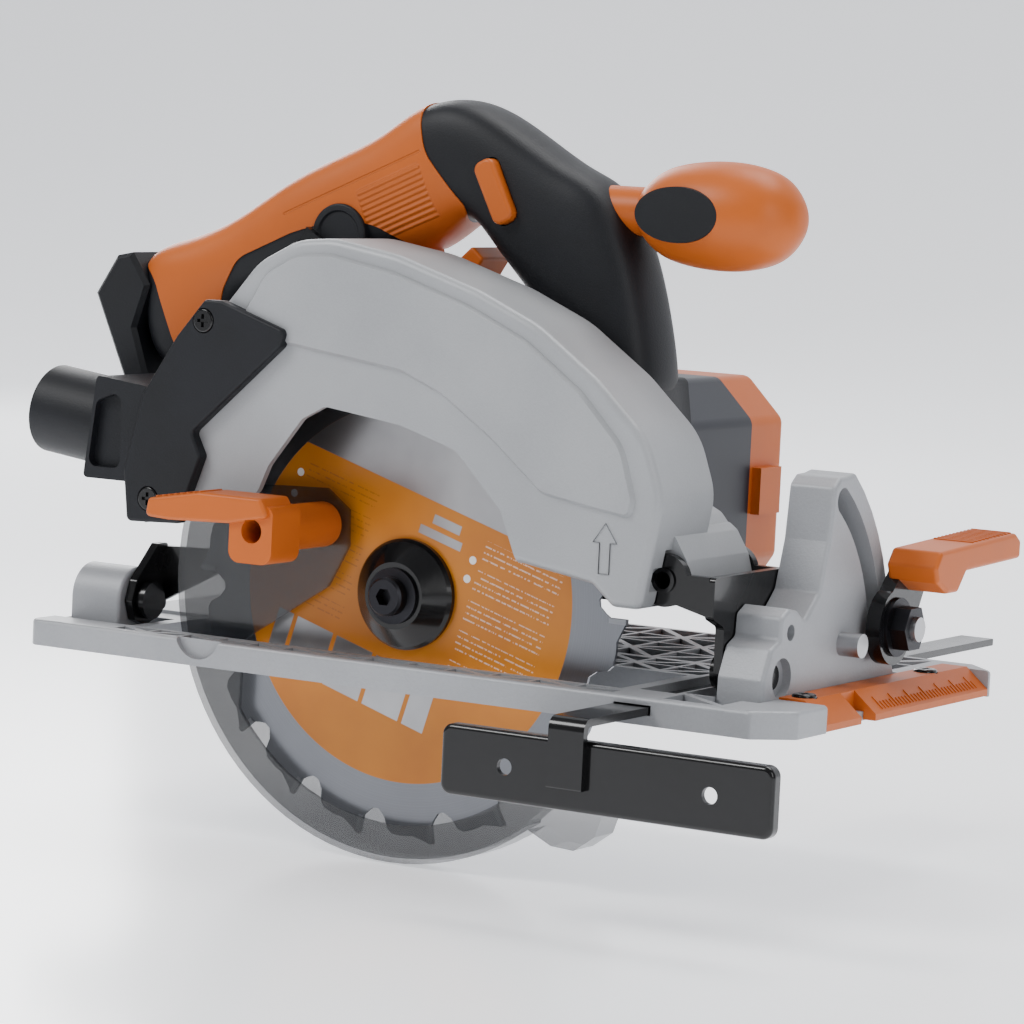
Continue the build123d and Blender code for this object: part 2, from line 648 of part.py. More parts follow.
# ================================================================ dust port
def make_dust_port():
    """Cover plate on the guard's rear corner, with a collar and the tube for a hose."""
    plate = [(-94.6, 45.0), (-96.6, 62.0), (-90.0, 88.0), (-77.0, 108.0), (-66.5, 120.5), (-60.0, 120.6),
             (-34.5, 112.4), (-36.0, 107.0), (-69.5, 76.5), (-65.5, 69.0), (-71.0, 54.0), (-73.0, 46.0)]
    near = GUARD_NEAR_Y - PORT_PLATE_T
    # The collar's rear face leans with the tube, so that a hose cuff seats square against it.
    lean = 34.5 * math.tan(math.radians(PORT_TILT))
    collar = [(-114.11, 58.0), (lean - 114.11, 92.5), (-87.0, 90.0), (-94.0, 62.0), (-93.0, 58.0)]
    with BuildPart() as port:
        add(slab(plate, near, GUARD_NEAR_Y, 2.0))
        fillet(port.edges().group_by(Axis.Y)[0], 1.0)
        add(slab(collar, near + 1.5, GUARD_BACK_Y - 1, [1.5, 1.5, 3.0, 3.0, 3.0]))
        add(port_tube(PORT_TUBE_R, PORT_X, PORT_END_X))
        fillet(port.edges().filter_by(GeomType.CIRCLE).sort_by(Axis.X)[0], 1.0)
        add(slab([(-112.3, 62.0), (-109.6, 84.0), (-99.5, 88.0), (-99.0, 62.0)], near - 1, near + 4.5, 3.0),
            mode=Mode.SUBTRACT)
        add(port_tube(PORT_BORE_R, -60.0, PORT_END_X - 10), mode=Mode.SUBTRACT)
        add(slab(GUARD_OUTLINE, GUARD_NEAR_Y, GUARD_FAR_Y, GUARD_RADII), mode=Mode.SUBTRACT)
        add(UPPER_GUARD, mode=Mode.SUBTRACT)
        for x, z in PORT_SCREWS:
            add(rod_y(x, z, 4.2, near - 1, near + 1.2), mode=Mode.SUBTRACT)
            add(rod_y(x, z, 1.6 + RUN, near - 1, GUARD_NEAR_Y + 1), mode=Mode.SUBTRACT)
    return port.part


def make_dust_port_screws():
    with BuildPart() as screws:
        for x, z in PORT_SCREWS:
            add(tapped_screw(x, GUARD_NEAR_Y - PORT_PLATE_T + 1.2, z, 3.9, 1.6, 1.6, 2.7, (0, 1, 0)))
    return screws.part


save(make_dust_port(), "dust_port")
save(make_dust_port_screws(), "dust_port_screws")

# ================================================================ lower guard
LOWER_REAR = 160.0
LOWER_FRONT = -42.0


def make_lower_guard():
    """Swinging cover of smoked plastic: rim, far wall with its hub, near wall with the lever lobe."""
    outer = arc_points(LOWER_R, LOWER_REAR, LOWER_FRONT + 360, 40)
    inner = arc_points(LOWER_R - LOWER_WALL, LOWER_FRONT + 360, LOWER_REAR, 40)
    band = arc_points(LOWER_R - 12.5, LOWER_FRONT + 360, 216, 18)
    lobe = [(-61.0, 6.6), (-28.0, 28.0), (-20.6, 42.0), (-21.0, 54.0), (-30.0, 60.5), (-44.0, 60.0)]
    with BuildPart() as guard:
        add(slab(outer + inner, LOWER_NEAR_Y, LOWER_FAR_Y))
        add(slab(outer + band + lobe, LOWER_NEAR_Y, LOWER_NEAR_Y + LOWER_WALL))
        add(slab(outer + [polar(24, LOWER_FRONT + 350), polar(24, LOWER_REAR + 10)], LOWER_FAR_Y - LOWER_WALL,
                 LOWER_FAR_Y))
        add(rod_y(0, ARBOR_Z, 25.0, LOWER_FAR_Y - LOWER_WALL, LOWER_FAR_Y))
        nose = [polar(LOWER_R - 2.2, -54), polar(97, -50.5), polar(103, -47), polar(104.5, -42), polar(102, -38.5),
                polar(93, -38.5), polar(LOWER_R - 2.2, -42)]
        add(slab(nose, LOWER_NEAR_Y, LOWER_FAR_Y, 1.2))
        add(rod_y(0, ARBOR_Z, BOSS_R + RUN, -20, 20), mode=Mode.SUBTRACT)
    return guard.part


def make_guard_lever():
    """Lift lever on the near wall: barrel, square block with its hole, flat paddle to the rear."""
    with BuildPart() as lever:
        add(rod_y(LEVER_X, LEVER_Z, LEVER_BARREL_R, -38.0, LOWER_NEAR_Y))
        add(block((LEVER_X - 8.6, LEVER_X + 8.0), (-47.0, -31.0), (LEVER_Z - 10.5, LEVER_Z + 8.5)))
        fillet(lever.edges().filter_by(Axis.Y).group_by(Axis.Z)[-1], 3.0)
        fillet(lever.edges().filter_by(Axis.Y).group_by(Axis.Z)[0], 4.0)
        paddle = [(LEVER_X - 41.0, LEVER_Z + 1.5), (LEVER_X - 40.0, LEVER_Z + 7.5), (LEVER_X - 20.0, LEVER_Z + 11.0),
                  (LEVER_X + 4.0, LEVER_Z + 11.0), (LEVER_X + 7.5, LEVER_Z + 5.0), (LEVER_X - 8.0, LEVER_Z + 2.0),
                  (LEVER_X - 32.0, LEVER_Z + 1.0)]
        add(slab(paddle, -49.0, -33.0, 1.6))
        fillet(lever.edges().group_by(Axis.Y)[0], 1.2)
        add(rod_y(LEVER_X, LEVER_Z, 3.9, -60.0, -20.0), mode=Mode.SUBTRACT)
    return lever.part


save(make_lower_guard(), "lower_guard")
save(make_guard_lever(), "guard_lever")
save(ring(0, ARBOR_Z, BOSS_R + 2.2, BOSS_R + RUN, LOWER_FAR_Y + 0.2, GUARD_BACK_Y - 0.2), "guard_return_spring")


# ================================================================ base
def rib_pockets(x, y, step):
    """Right-angled pocket outlines, two to each cell, that leave a lattice of ribs between them."""
    pockets = []
    nx = max(1, round((x[1] - x[0]) / step))
    ny = max(1, round((y[1] - y[0]) / step))
    dx = (x[1] - x[0]) / nx
    dy = (y[1] - y[0]) / ny
    t = RIB_T / 2
    for i in range(nx):
        for j in range(ny):
            x0, x1 = x[0] + i * dx + t, x[0] + (i + 1) * dx - t
            y0, y1 = y[0] + j * dy + t, y[0] + (j + 1) * dy - t
            d = RIB_T * 1.1
            if (i + j) % 2:
                pockets.append([(x0, y0 + d), (x0, y1), (x1 - d, y1)])
                pockets.append([(x0 + d, y0), (x1, y0), (x1, y1 - d)])
            else:
                pockets.append([(x0, y0), (x1 - d, y0), (x0, y1 - d)])
                pockets.append([(x1, y0 + d), (x1, y1), (x0 + d, y1)])
    return pockets


RIB_FIELDS = (((SLOT_REAR_X, -31.0), (BASE_NEAR_Y + 2.6, SLOT_NEAR_Y - 1.6), RIB_PITCH),
              ((-31.0, BAR_X - BAR_W / 2 - 2.0), (BASE_NEAR_Y + 2.6, SLOT_NEAR_Y - 1.6), RIB_PITCH),
              ((BAR_X + BAR_W / 2 + 2.0, 132.0), (BASE_NEAR_Y + 2.6, -11.0), RIB_PITCH),
              ((-95.0, -29.0), (SLOT_FAR_Y + 2.4, BASE_FAR_Y - 3.0), 17.0),
              ((-27.0, BAR_X - BAR_W / 2 - 2.0), (58.0, BASE_FAR_Y - 3.0), 17.0),
              ((31.0, BAR_X - BAR_W / 2 - 2.0), (SLOT_FAR_Y + 2.4, 56.0), 17.0),
              ((BAR_X + BAR_W / 2 + 8.0, 131.0), (92.0, BASE_FAR_Y - 3.0), 17.0))


def make_base_plate():
    """Cast sole with a raised edge, a lattice of ribs, the blade opening and the channel for the fence bar."""
    corner = BASE_CORNER
    outline = [(BASE_REAR_X, BASE_NEAR_Y + 3), (BASE_REAR_X + 3, BASE_NEAR_Y), (BASE_FRONT_X - corner, BASE_NEAR_Y),
               (BASE_FRONT_X, BASE_NEAR_Y + corner), (BASE_FRONT_X, BASE_FAR_Y - corner),
               (BASE_FRONT_X - corner, BASE_FAR_Y), (BASE_REAR_X + 6, BASE_FAR_Y), (BASE_REAR_X, BASE_FAR_Y - 6)]
    with BuildPart() as base:
        with BuildSketch():
            with BuildLine():
                FilletPolyline(*outline, radius=2.0, close=True)
            make_face()
        extrude(amount=BASE_H)
        fillet(base.edges().group_by(Axis.Z)[-1], 1.4)
        add(block((BASE_REAR_X - 0.1, -30.0), (SLOT_NEAR_Y, SLOT_FAR_Y), (BASE_H - 1.2, 20)), mode=Mode.SUBTRACT)
        with BuildSketch(Plane.XY.offset(SOLE_T)):
            for x, y, step in RIB_FIELDS:
                for corners in rib_pockets(x, y, step):
                    with BuildLine():
                        Polyline(*corners, close=True)
                    make_face()
        extrude(amount=BASE_H, mode=Mode.SUBTRACT)
        add(block((SLOT_REAR_X, SLOT_FRONT_X), (SLOT_NEAR_Y, SLOT_FAR_Y), (-1, 20)), mode=Mode.SUBTRACT)
        add(block((-27.0, 27.0), (SLOT_FAR_Y - 1, 56.0), (-1, 20)), mode=Mode.SUBTRACT)
        add(block((BAR_X - BAR_W / 2 - GAP, BAR_X + BAR_W / 2 + GAP), (BASE_NEAR_Y - 1, BASE_FAR_Y + 1),
                  (BAR_Z - 0.3, BAR_Z + BAR_T + 0.4)), mode=Mode.SUBTRACT)
        add(block((BAR_X - BAR_W / 2 - GAP, BAR_X + BAR_W / 2 + GAP), (-14.0, BASE_FAR_Y - 12), (BAR_Z - 0.3, 20)),
            mode=Mode.SUBTRACT)
        add(block((110.0, QUAD_REAR_X), (-10.5, 92.0), (SOLE_T, 20)), mode=Mode.SUBTRACT)
        add(block((QUAD_REAR_X, QUAD_FRONT_X + 0.2), (-12.0, 90.0), (SOLE_T, 20)), mode=Mode.SUBTRACT)
        add(block((INSERT_X[0], BASE_FRONT_X + 1), (INSERT_Y[0], INSERT_Y[1]), (SOLE_T, 20)), mode=Mode.SUBTRACT)
        add(block((INSERT_X[1] - 4.6, BASE_FRONT_X + 1), (INSERT_Y[0], INSERT_Y[1]), (-1, 20)), mode=Mode.SUBTRACT)
        add(block((-131.0, -104.0), (TILT_Y - 13, TILT_Y + 13), (SOLE_T, 20)), mode=Mode.SUBTRACT)
        add(rod_y(-62.0, BASE_H + 2.5, 9.0, BASE_NEAR_Y - 1, BASE_NEAR_Y + 2.2), mode=Mode.SUBTRACT)
    return base.part


INSERT_X = (QUAD_FRONT_X + 0.4, BASE_FRONT_X)
INSERT_Y = (0.4, 120.0)
INSERT_SCREWS_Y = (8.0, 96.0)
INSERT_SCREW_X = 142.5


def make_front_insert():
    """Sight strip at the front edge with a sloping face, scale marks and the cutting-line notch."""
    x0, x1 = INSERT_X
    back = x1 - 4.6
    section = [(x0, SOLE_T), (x0, 9.4), (x0 + 9.0, 9.4), (x1, 2.6), (x1, 0.4), (back + 0.2, 0.4), (back + 0.2, SOLE_T)]
    with BuildPart() as strip:
        add(slab(section, INSERT_Y[0] + 0.1, INSERT_Y[1] - 0.1))
        add(block((x1 - 8.0, x1 + 1), (25.0, 35.0), (-1, 20)), mode=Mode.SUBTRACT)
        for y in INSERT_SCREWS_Y:
            add(rod_z(INSERT_SCREW_X, y, 2.0 + RUN, 0, 20), mode=Mode.SUBTRACT)
            add(rod_z(INSERT_SCREW_X, y, 4.2, 7.4, 20), mode=Mode.SUBTRACT)
    return strip.part


def make_insert_screws():
    with BuildPart() as screws:
        for y in INSERT_SCREWS_Y:
            add(tapped_screw(INSERT_SCREW_X, y, 7.4, 4.0, 3.0, 2.0, 4.4, (0, 0, -1)))
    return screws.part


save(make_base_plate(), "base_plate")
save(make_front_insert(), "front_insert")
save(make_insert_screws(), "insert_screws")


# ================================================================ tilt quadrant and trunnion
def quad_polar(radius, degrees):
    return polar(radius, degrees, TILT_Y, TILT_Z)


def make_bevel_quadrant():
    """Cast quadrant at the front: pivot boss, tapped ear, tall rib and the plate with the arc slot."""
    outline = [(-10.0, SOLE_T), (-9.5, 15.0), (-5.0, 24.5), (0.5, 27.0), (1.0, 34.0), (6.0, 36.6), (12.0, 35.5),
               (17.0, 32.0), (26.0, 40.0), (31.0, 56.0), (33.0, 73.0), (37.0, 76.0), (42.5, 76.2)]
    outline += [quad_polar(QUAD_R, a) for a in (54, 47, 40, 33, 26, 19, 12)]
    outline += [(80.0, 16.0), (88.0, SOLE_T)]
    with BuildPart() as quad:
        add(wall(outline, QUAD_REAR_X, QUAD_FRONT_X, 2.0))
        fillet(quad.edges().group_by(Axis.X)[-1], 1.4)
        pocket = [quad_polar(22, 12), quad_polar(38, 46), quad_polar(50, 52), quad_polar(73, 54)]
        pocket += [quad_polar(73.5, a) for a in (45, 35, 25, 15)]
        pocket += [quad_polar(73, 4), quad_polar(22, 2)]
        add(wall(pocket, QUAD_REAR_X - 1, QUAD_FRONT_X - QUAD_PLATE_T, 2.0), mode=Mode.SUBTRACT)
        with BuildSketch(front(QUAD_REAR_X - 1)):
            with BuildLine() as middle:
                start = quad_polar(QUAD_SLOT_R, CLAMP_ANGLE)
                through = quad_polar(QUAD_SLOT_R, CLAMP_ANGLE + TILT_RANGE / 2)
                end = quad_polar(QUAD_SLOT_R, CLAMP_ANGLE + TILT_RANGE)
                arc = ThreePointArc(start, through, end)
            SlotArc(arc, 2 * (CLAMP_BOLT_R + 0.25))
        extrude(amount=30, mode=Mode.SUBTRACT)
        add(rod_x(TILT_Y, TILT_Z, TILT_PIN_R, QUAD_REAR_X - 5, QUAD_FRONT_X + 5), mode=Mode.SUBTRACT)
        add(rod_x(TILT_Y, TILT_Z, 6.4, QUAD_FRONT_X - 3.0, QUAD_FRONT_X + 5), mode=Mode.SUBTRACT)
        add(rod_x(7.2, 29.0, 2.6, QUAD_FRONT_X - 9, QUAD_FRONT_X + 5), mode=Mode.SUBTRACT)
        add(rod_x(STOP_Y, STOP_Z, 3.0, QUAD_FRONT_X - 7, QUAD_FRONT_X + 5), mode=Mode.SUBTRACT)
    return quad.part


STOP_Y = 43.5
STOP_Z = 22.5
TRUNNION_X = (-130.0, -110.2)


def make_rear_trunnion():
    """Round-topped bearing block for the rear end of the tilt axis."""
    x0, x1 = TRUNNION_X
    with BuildPart() as trunnion:
        with BuildSketch(front(x0)):
            with Locations((TILT_Y, TILT_Z)):
                Circle(11.0)
            with Locations((TILT_Y, (TILT_Z + SOLE_T) / 2)):
                Rectangle(22.0, TILT_Z - SOLE_T)
        extrude(amount=x1 - x0)
        fillet(trunnion.edges().group_by(Axis.X)[-1].filter_by(GeomType.CIRCLE), 1.2)
        add(rod_x(TILT_Y, TILT_Z, TILT_PIN_R, x0 + 2, x1 + 2), mode=Mode.SUBTRACT)
    return trunnion.part


def make_tilt_pins():
    """Pins of the tilt axis, pressed into the quadrant and the trunnion, each with its head on the bracket side."""
    with BuildPart() as pins:
        add(rod_x(TILT_Y, TILT_Z, TILT_PIN_R, BRACKET_X[0] - 1.2, QUAD_FRONT_X - 3.0))
        add(rod_x(TILT_Y, TILT_Z, 5.6, BRACKET_X[0] - 3.2, BRACKET_X[0] - 0.3))
        add(rod_x(TILT_Y, TILT_Z, TILT_PIN_R, TRUNNION_X[0] + 2, REAR_PLATE_X[1] + 1.2))
        add(rod_x(TILT_Y, TILT_Z, 6.4, REAR_PLATE_X[1] + 0.3, REAR_PLATE_X[1] + 3.2))
    return pins.part


REAR_PLATE_X = (TRUNNION_X[1] + GAP, TRUNNION_X[1] + GAP + STEEL_T)
save(make_bevel_quadrant(), "bevel_quadrant")
save(make_rear_trunnion(), "rear_trunnion")
save(make_tilt_pins(), "tilt_pins")
save(rod_x(STOP_Y, STOP_Z, 3.0, QUAD_FRONT_X - 7, QUAD_FRONT_X).fuse(
    rod_x(STOP_Y, STOP_Z, 3.9, QUAD_FRONT_X, QUAD_FRONT_X + 7.5)), "bevel_stop_pin")


# ================================================================ tilting frame
def make_front_bracket():
    """Pressed steel bracket: cross plate with the tilt pivot, clamp arm, and two ears for the depth pivot."""
    x0, x1 = BRACKET_X
    near = -10.6 - GAP
    far = ARM_FAR_Y + GAP
    with BuildPart() as bracket:
        plate = [(near - STEEL_T, 33.0), (near - STEEL_T, 46.0), (far + STEEL_T, 46.0), (far + STEEL_T, 40.0),
                 (70.0, 37.0), (76.0, 32.0), (76.0, 21.0), (70.0, 17.0), (40.0, 24.0), (14.0, 24.0),
                 (11.5, 15.0), (8.0, 8.2), (TILT_Y, 6.0), (-3.0, 8.2), (-6.5, 15.0), (-6.5, 30.0)]
        add(wall(plate, x0, x1, 1.5))
        for y in (near - STEEL_T, far):
            with BuildSketch(side(y + STEEL_T)):
                with Locations((DEPTH_X, DEPTH_Z)):
                    Circle(DEPTH_EAR_R)
                with BuildLine():
                    Polyline((DEPTH_X, DEPTH_Z + 2.4), (x0 + 1, DEPTH_Z + 2.4), (x0 + 1, 33.4), (DEPTH_X + 4, 36.4),
                             (DEPTH_X, DEPTH_Z), close=True)
                make_face()
            extrude(amount=STEEL_T)
        add(rod_y(DEPTH_X, DEPTH_Z, DEPTH_PIN_R, -30, 50), mode=Mode.SUBTRACT)
        add(rod_x(TILT_Y, TILT_Z, TILT_PIN_R + RUN, x0 - 5, x1 + 5), mode=Mode.SUBTRACT)
        add(rod_x(CLAMP_Y, CLAMP_Z, CLAMP_BOLT_R, x0 - 5, x1 + 5), mode=Mode.SUBTRACT)
    return bracket.part


def make_rear_bracket():
    """Ear on the rear tilt pin, with the arm that carries the depth guide."""
    plate = [(TILT_Y - 8.5, TILT_Z), (TILT_Y - 6, TILT_Z - 6.5), (TILT_Y, TILT_Z - 8.8), (TILT_Y + 6, TILT_Z - 6.5),
             (GUIDE_Y + GUIDE_T, 12.0), (GUIDE_Y + GUIDE_T, 34.0), (GUIDE_Y - 3, 34.0), (TILT_Y - 6, TILT_Z + 7)]
    with BuildPart() as bracket:
        add(wall(plate, *REAR_PLATE_X, 1.5))
        add(rod_x(TILT_Y, TILT_Z, TILT_PIN_R + RUN, -140, -90), mode=Mode.SUBTRACT)
    return bracket.part


def guide_polar(radius, degrees):
    return polar(radius, 180 - degrees, DEPTH_X, DEPTH_Z)


def make_depth_guide():
    """Flat arc with the slot that the depth clamp slides in."""
    r0, r1 = GUIDE_R - GUIDE_W / 2, GUIDE_R + GUIDE_W / 2
    outer = [guide_polar(r1, a) for a in range(-3, 35, 3)]
    inner = [guide_polar(r0, a) for a in range(33, -6, -3)]
    foot = [(REAR_PLATE_X[1], 14.0), (REAR_PLATE_X[1], 33.0)]
    with BuildPart() as guide:
        add(slab(inner + foot + outer, GUIDE_Y, GUIDE_Y + GUIDE_T))
        with BuildSketch(side(GUIDE_Y + GUIDE_T + 1)):
            with BuildLine():
                arc = ThreePointArc(guide_polar(GUIDE_R, 0), guide_polar(GUIDE_R, 15), guide_polar(GUIDE_R, 30))
            SlotArc(arc, 2 * 3.3)
        extrude(amount=6, mode=Mode.SUBTRACT)
    return guide.part


def make_bevel_bolt():
    """Clamp bolt: head behind the bracket's arm, shank through the arc slot."""
    with BuildPart() as bolt:
        add(rod_x(CLAMP_Y, CLAMP_Z, CLAMP_BOLT_R, BRACKET_X[0] - 4.0, QUAD_FRONT_X + 16.5))
        add(rod_x(CLAMP_Y, CLAMP_Z, 7.0, BRACKET_X[0] - 4.0, BRACKET_X[0]))
    return bolt.part


def make_depth_pin():
    """Hollow rolled pin through both ears."""
    with BuildPart() as pin:
        add(rod_y(DEPTH_X, DEPTH_Z, DEPTH_PIN_R, -10.6 - GAP - STEEL_T - 0.8, ARM_FAR_Y + GAP + STEEL_T + 0.8))
        add(rod_y(DEPTH_X, DEPTH_Z, DEPTH_PIN_R - 1.3, -30, 50), mode=Mode.SUBTRACT)
    return pin.part


save(make_front_bracket(), "front_bracket")
save(make_rear_bracket(), "rear_bracket")
save(make_depth_guide(), "depth_guide")
save(make_bevel_bolt(), "bevel_bolt")
save(make_depth_pin(), "depth_pivot_pin")


# ================================================================ tilt clamp lever
LEVER_HUB_X = (QUAD_FRONT_X + 3.0, QUAD_FRONT_X + 8.0)


def make_bevel_lever():
    """Flat arm with a round hub on the clamp bolt."""
    with BuildPart() as lever:
        add(rod_x(CLAMP_Y, CLAMP_Z, 12.4, *LEVER_HUB_X))
        arm = [(CLAMP_Y + 4, CLAMP_Z - 11.5), (CLAMP_Y + 12, CLAMP_Z - 2), (CLAMP_Y + 21, CLAMP_Z + 13),
               (CLAMP_Y + 19, CLAMP_Z + 22), (CLAMP_Y + 8, CLAMP_Z + 23), (CLAMP_Y - 11, CLAMP_Z + 5)]
        add(wall(arm, *LEVER_HUB_X, 1.5))
        add(rod_x(CLAMP_Y, CLAMP_Z, CLAMP_BOLT_R + RUN, 130, 160), mode=Mode.SUBTRACT)
    return lever.part


def make_lever_grip():
    """Ribbed hand grip moulded on the arm's end, reaching away towards the motor side."""
    y0, y1 = CLAMP_Y - 2.0, CLAMP_Y + 64.0
    z = CLAMP_Z + 13.5
    outline = [(y0 + 2, z + 2), (y0, z + 7), (y0 + 4, z + 12), (y1 - 4, z + 14.5), (y1, z + 12), (y1, z + 6),
               (y0 + 24, z + 4.5), (y0 + 18, z - 2.0), (y0 + 10, z - 2.0)]
    with BuildPart() as grip:
        add(wall(outline, QUAD_FRONT_X + 4.0, QUAD_FRONT_X + 22.0, 1.6))
        fillet(grip.edges().group_by(Axis.X)[-1], 1.4)
        fillet(grip.edges().group_by(Axis.X)[0], 1.4)
        add(make_bevel_lever(), mode=Mode.SUBTRACT)
        add(rod_x(CLAMP_Y, CLAMP_Z, 13.0, 130, 175), mode=Mode.SUBTRACT)
    return grip.part


def make_bevel_nut():
    with BuildPart() as nut:
        with BuildSketch(front(LEVER_HUB_X[1])):
            with Locations((CLAMP_Y, CLAMP_Z)):
                Circle(9.6)
        extrude(amount=1.2)
        with BuildSketch(front(LEVER_HUB_X[1] + 1.2)):
            with Locations((CLAMP_Y, CLAMP_Z)):
                RegularPolygon(7.8, 6)
        extrude(amount=5.6)
        add(rod_x(CLAMP_Y, CLAMP_Z, CLAMP_BOLT_R + RUN, 130, 170), mode=Mode.SUBTRACT)
    return nut.part


save(make_bevel_lever(), "bevel_lever")
save(make_lever_grip(), "bevel_lever_grip")
save(make_bevel_nut(), "bevel_lever_nut")


# ================================================================ depth clamp
CLAMP_LEVER_Y = (GUIDE_Y + GUIDE_T + 0.4, GUIDE_Y + GUIDE_T + 7.0)
DEPTH_CLAMP = guide_polar(GUIDE_R, 0)


def make_depth_bolt():
    with BuildPart() as bolt:
        add(rod_y(*DEPTH_CLAMP, 3.0, GUARD_FAR_Y, CLAMP_LEVER_Y[1] + 1.5))
    return bolt.part


def make_depth_lever():
    """Small lever whose nut pinches the depth guide."""
    x, z = DEPTH_CLAMP
    with BuildPart() as lever:
        add(rod_y(x, z, 8.0, *CLAMP_LEVER_Y))
        add(slab([(x - 4, z - 6), (x + 6, z - 5), (x + 40, z + 3), (x + 40, z + 10), (x + 4, z + 7)],
                 CLAMP_LEVER_Y[0] + 1, CLAMP_LEVER_Y[1], 1.5))
        add(rod_y(x, z, 3.0 + RUN, 0, 40), mode=Mode.SUBTRACT)
    return lever.part


save(make_depth_bolt(), "depth_bolt")
save(make_depth_lever(), "depth_lever")


# ================================================================ edge guide
def make_fence_bar():
    """Flat bar that runs across the base and hooks down over the fence plate."""
    x0, x1 = BAR_X - BAR_W / 2, BAR_X + BAR_W / 2
    y0 = BAR_NEAR_Y
    outline = [(y0, -16.0), (y0, BAR_Z + BAR_T), (BAR_FAR_Y, BAR_Z + BAR_T), (BAR_FAR_Y, BAR_Z),
               (y0 + BAR_T, BAR_Z), (y0 + BAR_T, -16.0)]
    radii = [0.6, 4.0, 0.6, 0.6, 1.5, 0.6]
    with BuildPart() as bar:
        with BuildSketch(front(x0)):
            with BuildLine():
                FilletPolyline(*outline, radius=radii, close=True)
            make_face()
        extrude(amount=x1 - x0)
    return bar.part


def make_fence_plate():
    """Pressed plate with rounded corners, a turned-back rim and two fixing holes."""
    y0 = BAR_NEAR_Y + BAR_T
    mid_x = (FENCE_X[0] + FENCE_X[1]) / 2
    mid_z = (FENCE_Z[0] + FENCE_Z[1]) / 2
    length = FENCE_X[1] - FENCE_X[0]
    height = FENCE_Z[1] - FENCE_Z[0]
    with BuildPart() as plate:
        with BuildSketch(side(y0 + 4.5)):
            with Locations((mid_x, mid_z)):
                RectangleRounded(length, height, 3.5)
        extrude(amount=4.5)
        fillet(plate.edges().group_by(Axis.Y)[0], 1.5)
        with BuildSketch(side(y0 + 4.5)):
            with Locations((mid_x, mid_z)):
                RectangleRounded(length - 3.6, height - 3.6, 1.7)
        extrude(amount=2.7, mode=Mode.SUBTRACT)
        for x in FENCE_HOLES_X:
            add(rod_y(x, mid_z, FENCE_HOLE_R, y0 - 5, y0 + 10), mode=Mode.SUBTRACT)
    return plate.part


save(make_fence_bar(), "fence_bar")
save(make_fence_plate(), "fence_plate")

# ================================================================ handle
HANDLE_TOP = [(-128.0, 132.4), (-119.0, 136.2), (-99.0, 139.6), (-90.5, 145.4), (-82.0, 152.5), (-70.0, 160.5),
              (-50.0, 169.3), (-34.0, 176.0), (-26.0, 182.6), (-19.0, 187.8), (-2.0, 191.6), (7.0, 190.0),
              (15.5, 184.0), (24.0, 176.2), (41.0, 168.0), (52.0, 166.6), (57.0, 158.0), (68.5, 141.0),
              (74.6, 108.0), (76.0, DECK_Z)]
ARCH_FOOT = [(78.2, 74.0), (67.6, 72.5), (64.6, 79.5), (62.0, 84.5), (62.0, 103.0), (74.0, 103.0)]
HANDLE_BOTTOM = [(-22.0, DECK_Z), (-30.0, 84.0), (-117.5, 84.0), (-125.5, 106.5), (-120.5, 121.5)]
OPENING = [(2.0, 152.0), (12.5, 140.5), (28.0, 125.5), (37.0, 113.0), (33.0, 107.0), (-80.0, 106.0), (-90.0, 112.0),
           (-78.0, 120.5), (-50.0, 128.0), (-14.0, 139.0)]
ORANGE = [(-140.0, 140.0), (-128.5, 131.5), (-119.0, 124.0), (-109.0, 102.0), (-104.0, 98.0), (-93.0, 104.0),
          (-90.5, 121.0), (-84.0, 133.0), (-60.0, 144.0), (-38.0, 150.0), (-12.5, 139.4), (3.6, 153.6),
          (-11.5, 172.0), (-17.0, 183.0), (-22.0, 200.0), (-140.0, 200.0)]


def handle_block(shrink, half):
    """Solid of the handle's outline with the hand opening, drawn in by the shrink."""
    with BuildPart() as piece:
        with BuildSketch(side(HANDLE_Y)):
            with BuildLine():
                Polyline(*HANDLE_TOP, *HANDLE_BOTTOM, close=True)
            make_face()
            with BuildLine():
                Polyline(*OPENING, close=True)
            make_face(mode=Mode.SUBTRACT)
            if shrink:
                offset(amount=-shrink, kind=Kind.INTERSECTION)
        extrude(amount=half)
        if not shrink:
            chamfer(piece.edges().group_by(Axis.Y)[0], 4.0)
    return piece.part


HANDLE_OUTER = handle_block(0, HANDLE_HALF)
HANDLE_CORE = handle_block(GRIP_SKIN, HANDLE_HALF - GRIP_SKIN)
HANDLE_HOLLOW = handle_block(GRIP_SKIN + HANDLE_WALL, HANDLE_HALF - GRIP_SKIN - HANDLE_WALL)
ORANGE_ZONE = slab(ORANGE, HANDLE_Y - HANDLE_HALF - 5, HANDLE_Y + 5)


def make_grip():
    """Soft overmould over the rear of one handle half."""
    with BuildPart() as grip:
        add(HANDLE_OUTER)
        add(ORANGE_ZONE, mode=Mode.INTERSECT)
        add(HANDLE_CORE, mode=Mode.SUBTRACT)
        add(stem_slot(), mode=Mode.SUBTRACT)
    return grip.part


def make_handle_shell(skin):
    with BuildPart() as shell:
        add(HANDLE_OUTER)
        add(skin, mode=Mode.SUBTRACT)
        add(HANDLE_HOLLOW, mode=Mode.SUBTRACT)
        add(slab(ARCH_FOOT, HANDLE_Y - HANDLE_HALF + 1.5, HANDLE_Y))
        add(stem_slot(), mode=Mode.SUBTRACT)
        add(rod_x(HANDLE_Y, KNOB_Z, KNOB_NECK_R, 40.0, 90.0), mode=Mode.SUBTRACT)
    return shell.part


def mirrored(piece):
    with BuildPart() as other:
        add(piece)
        mirror(about=Plane.XZ.offset(-HANDLE_Y), mode=Mode.REPLACE)
    return other.part


KNOB_NECK_R = 8.0
LEAN = math.degrees(math.atan2(11.0, 36.0))
STEM = (-20.0, 137.0)


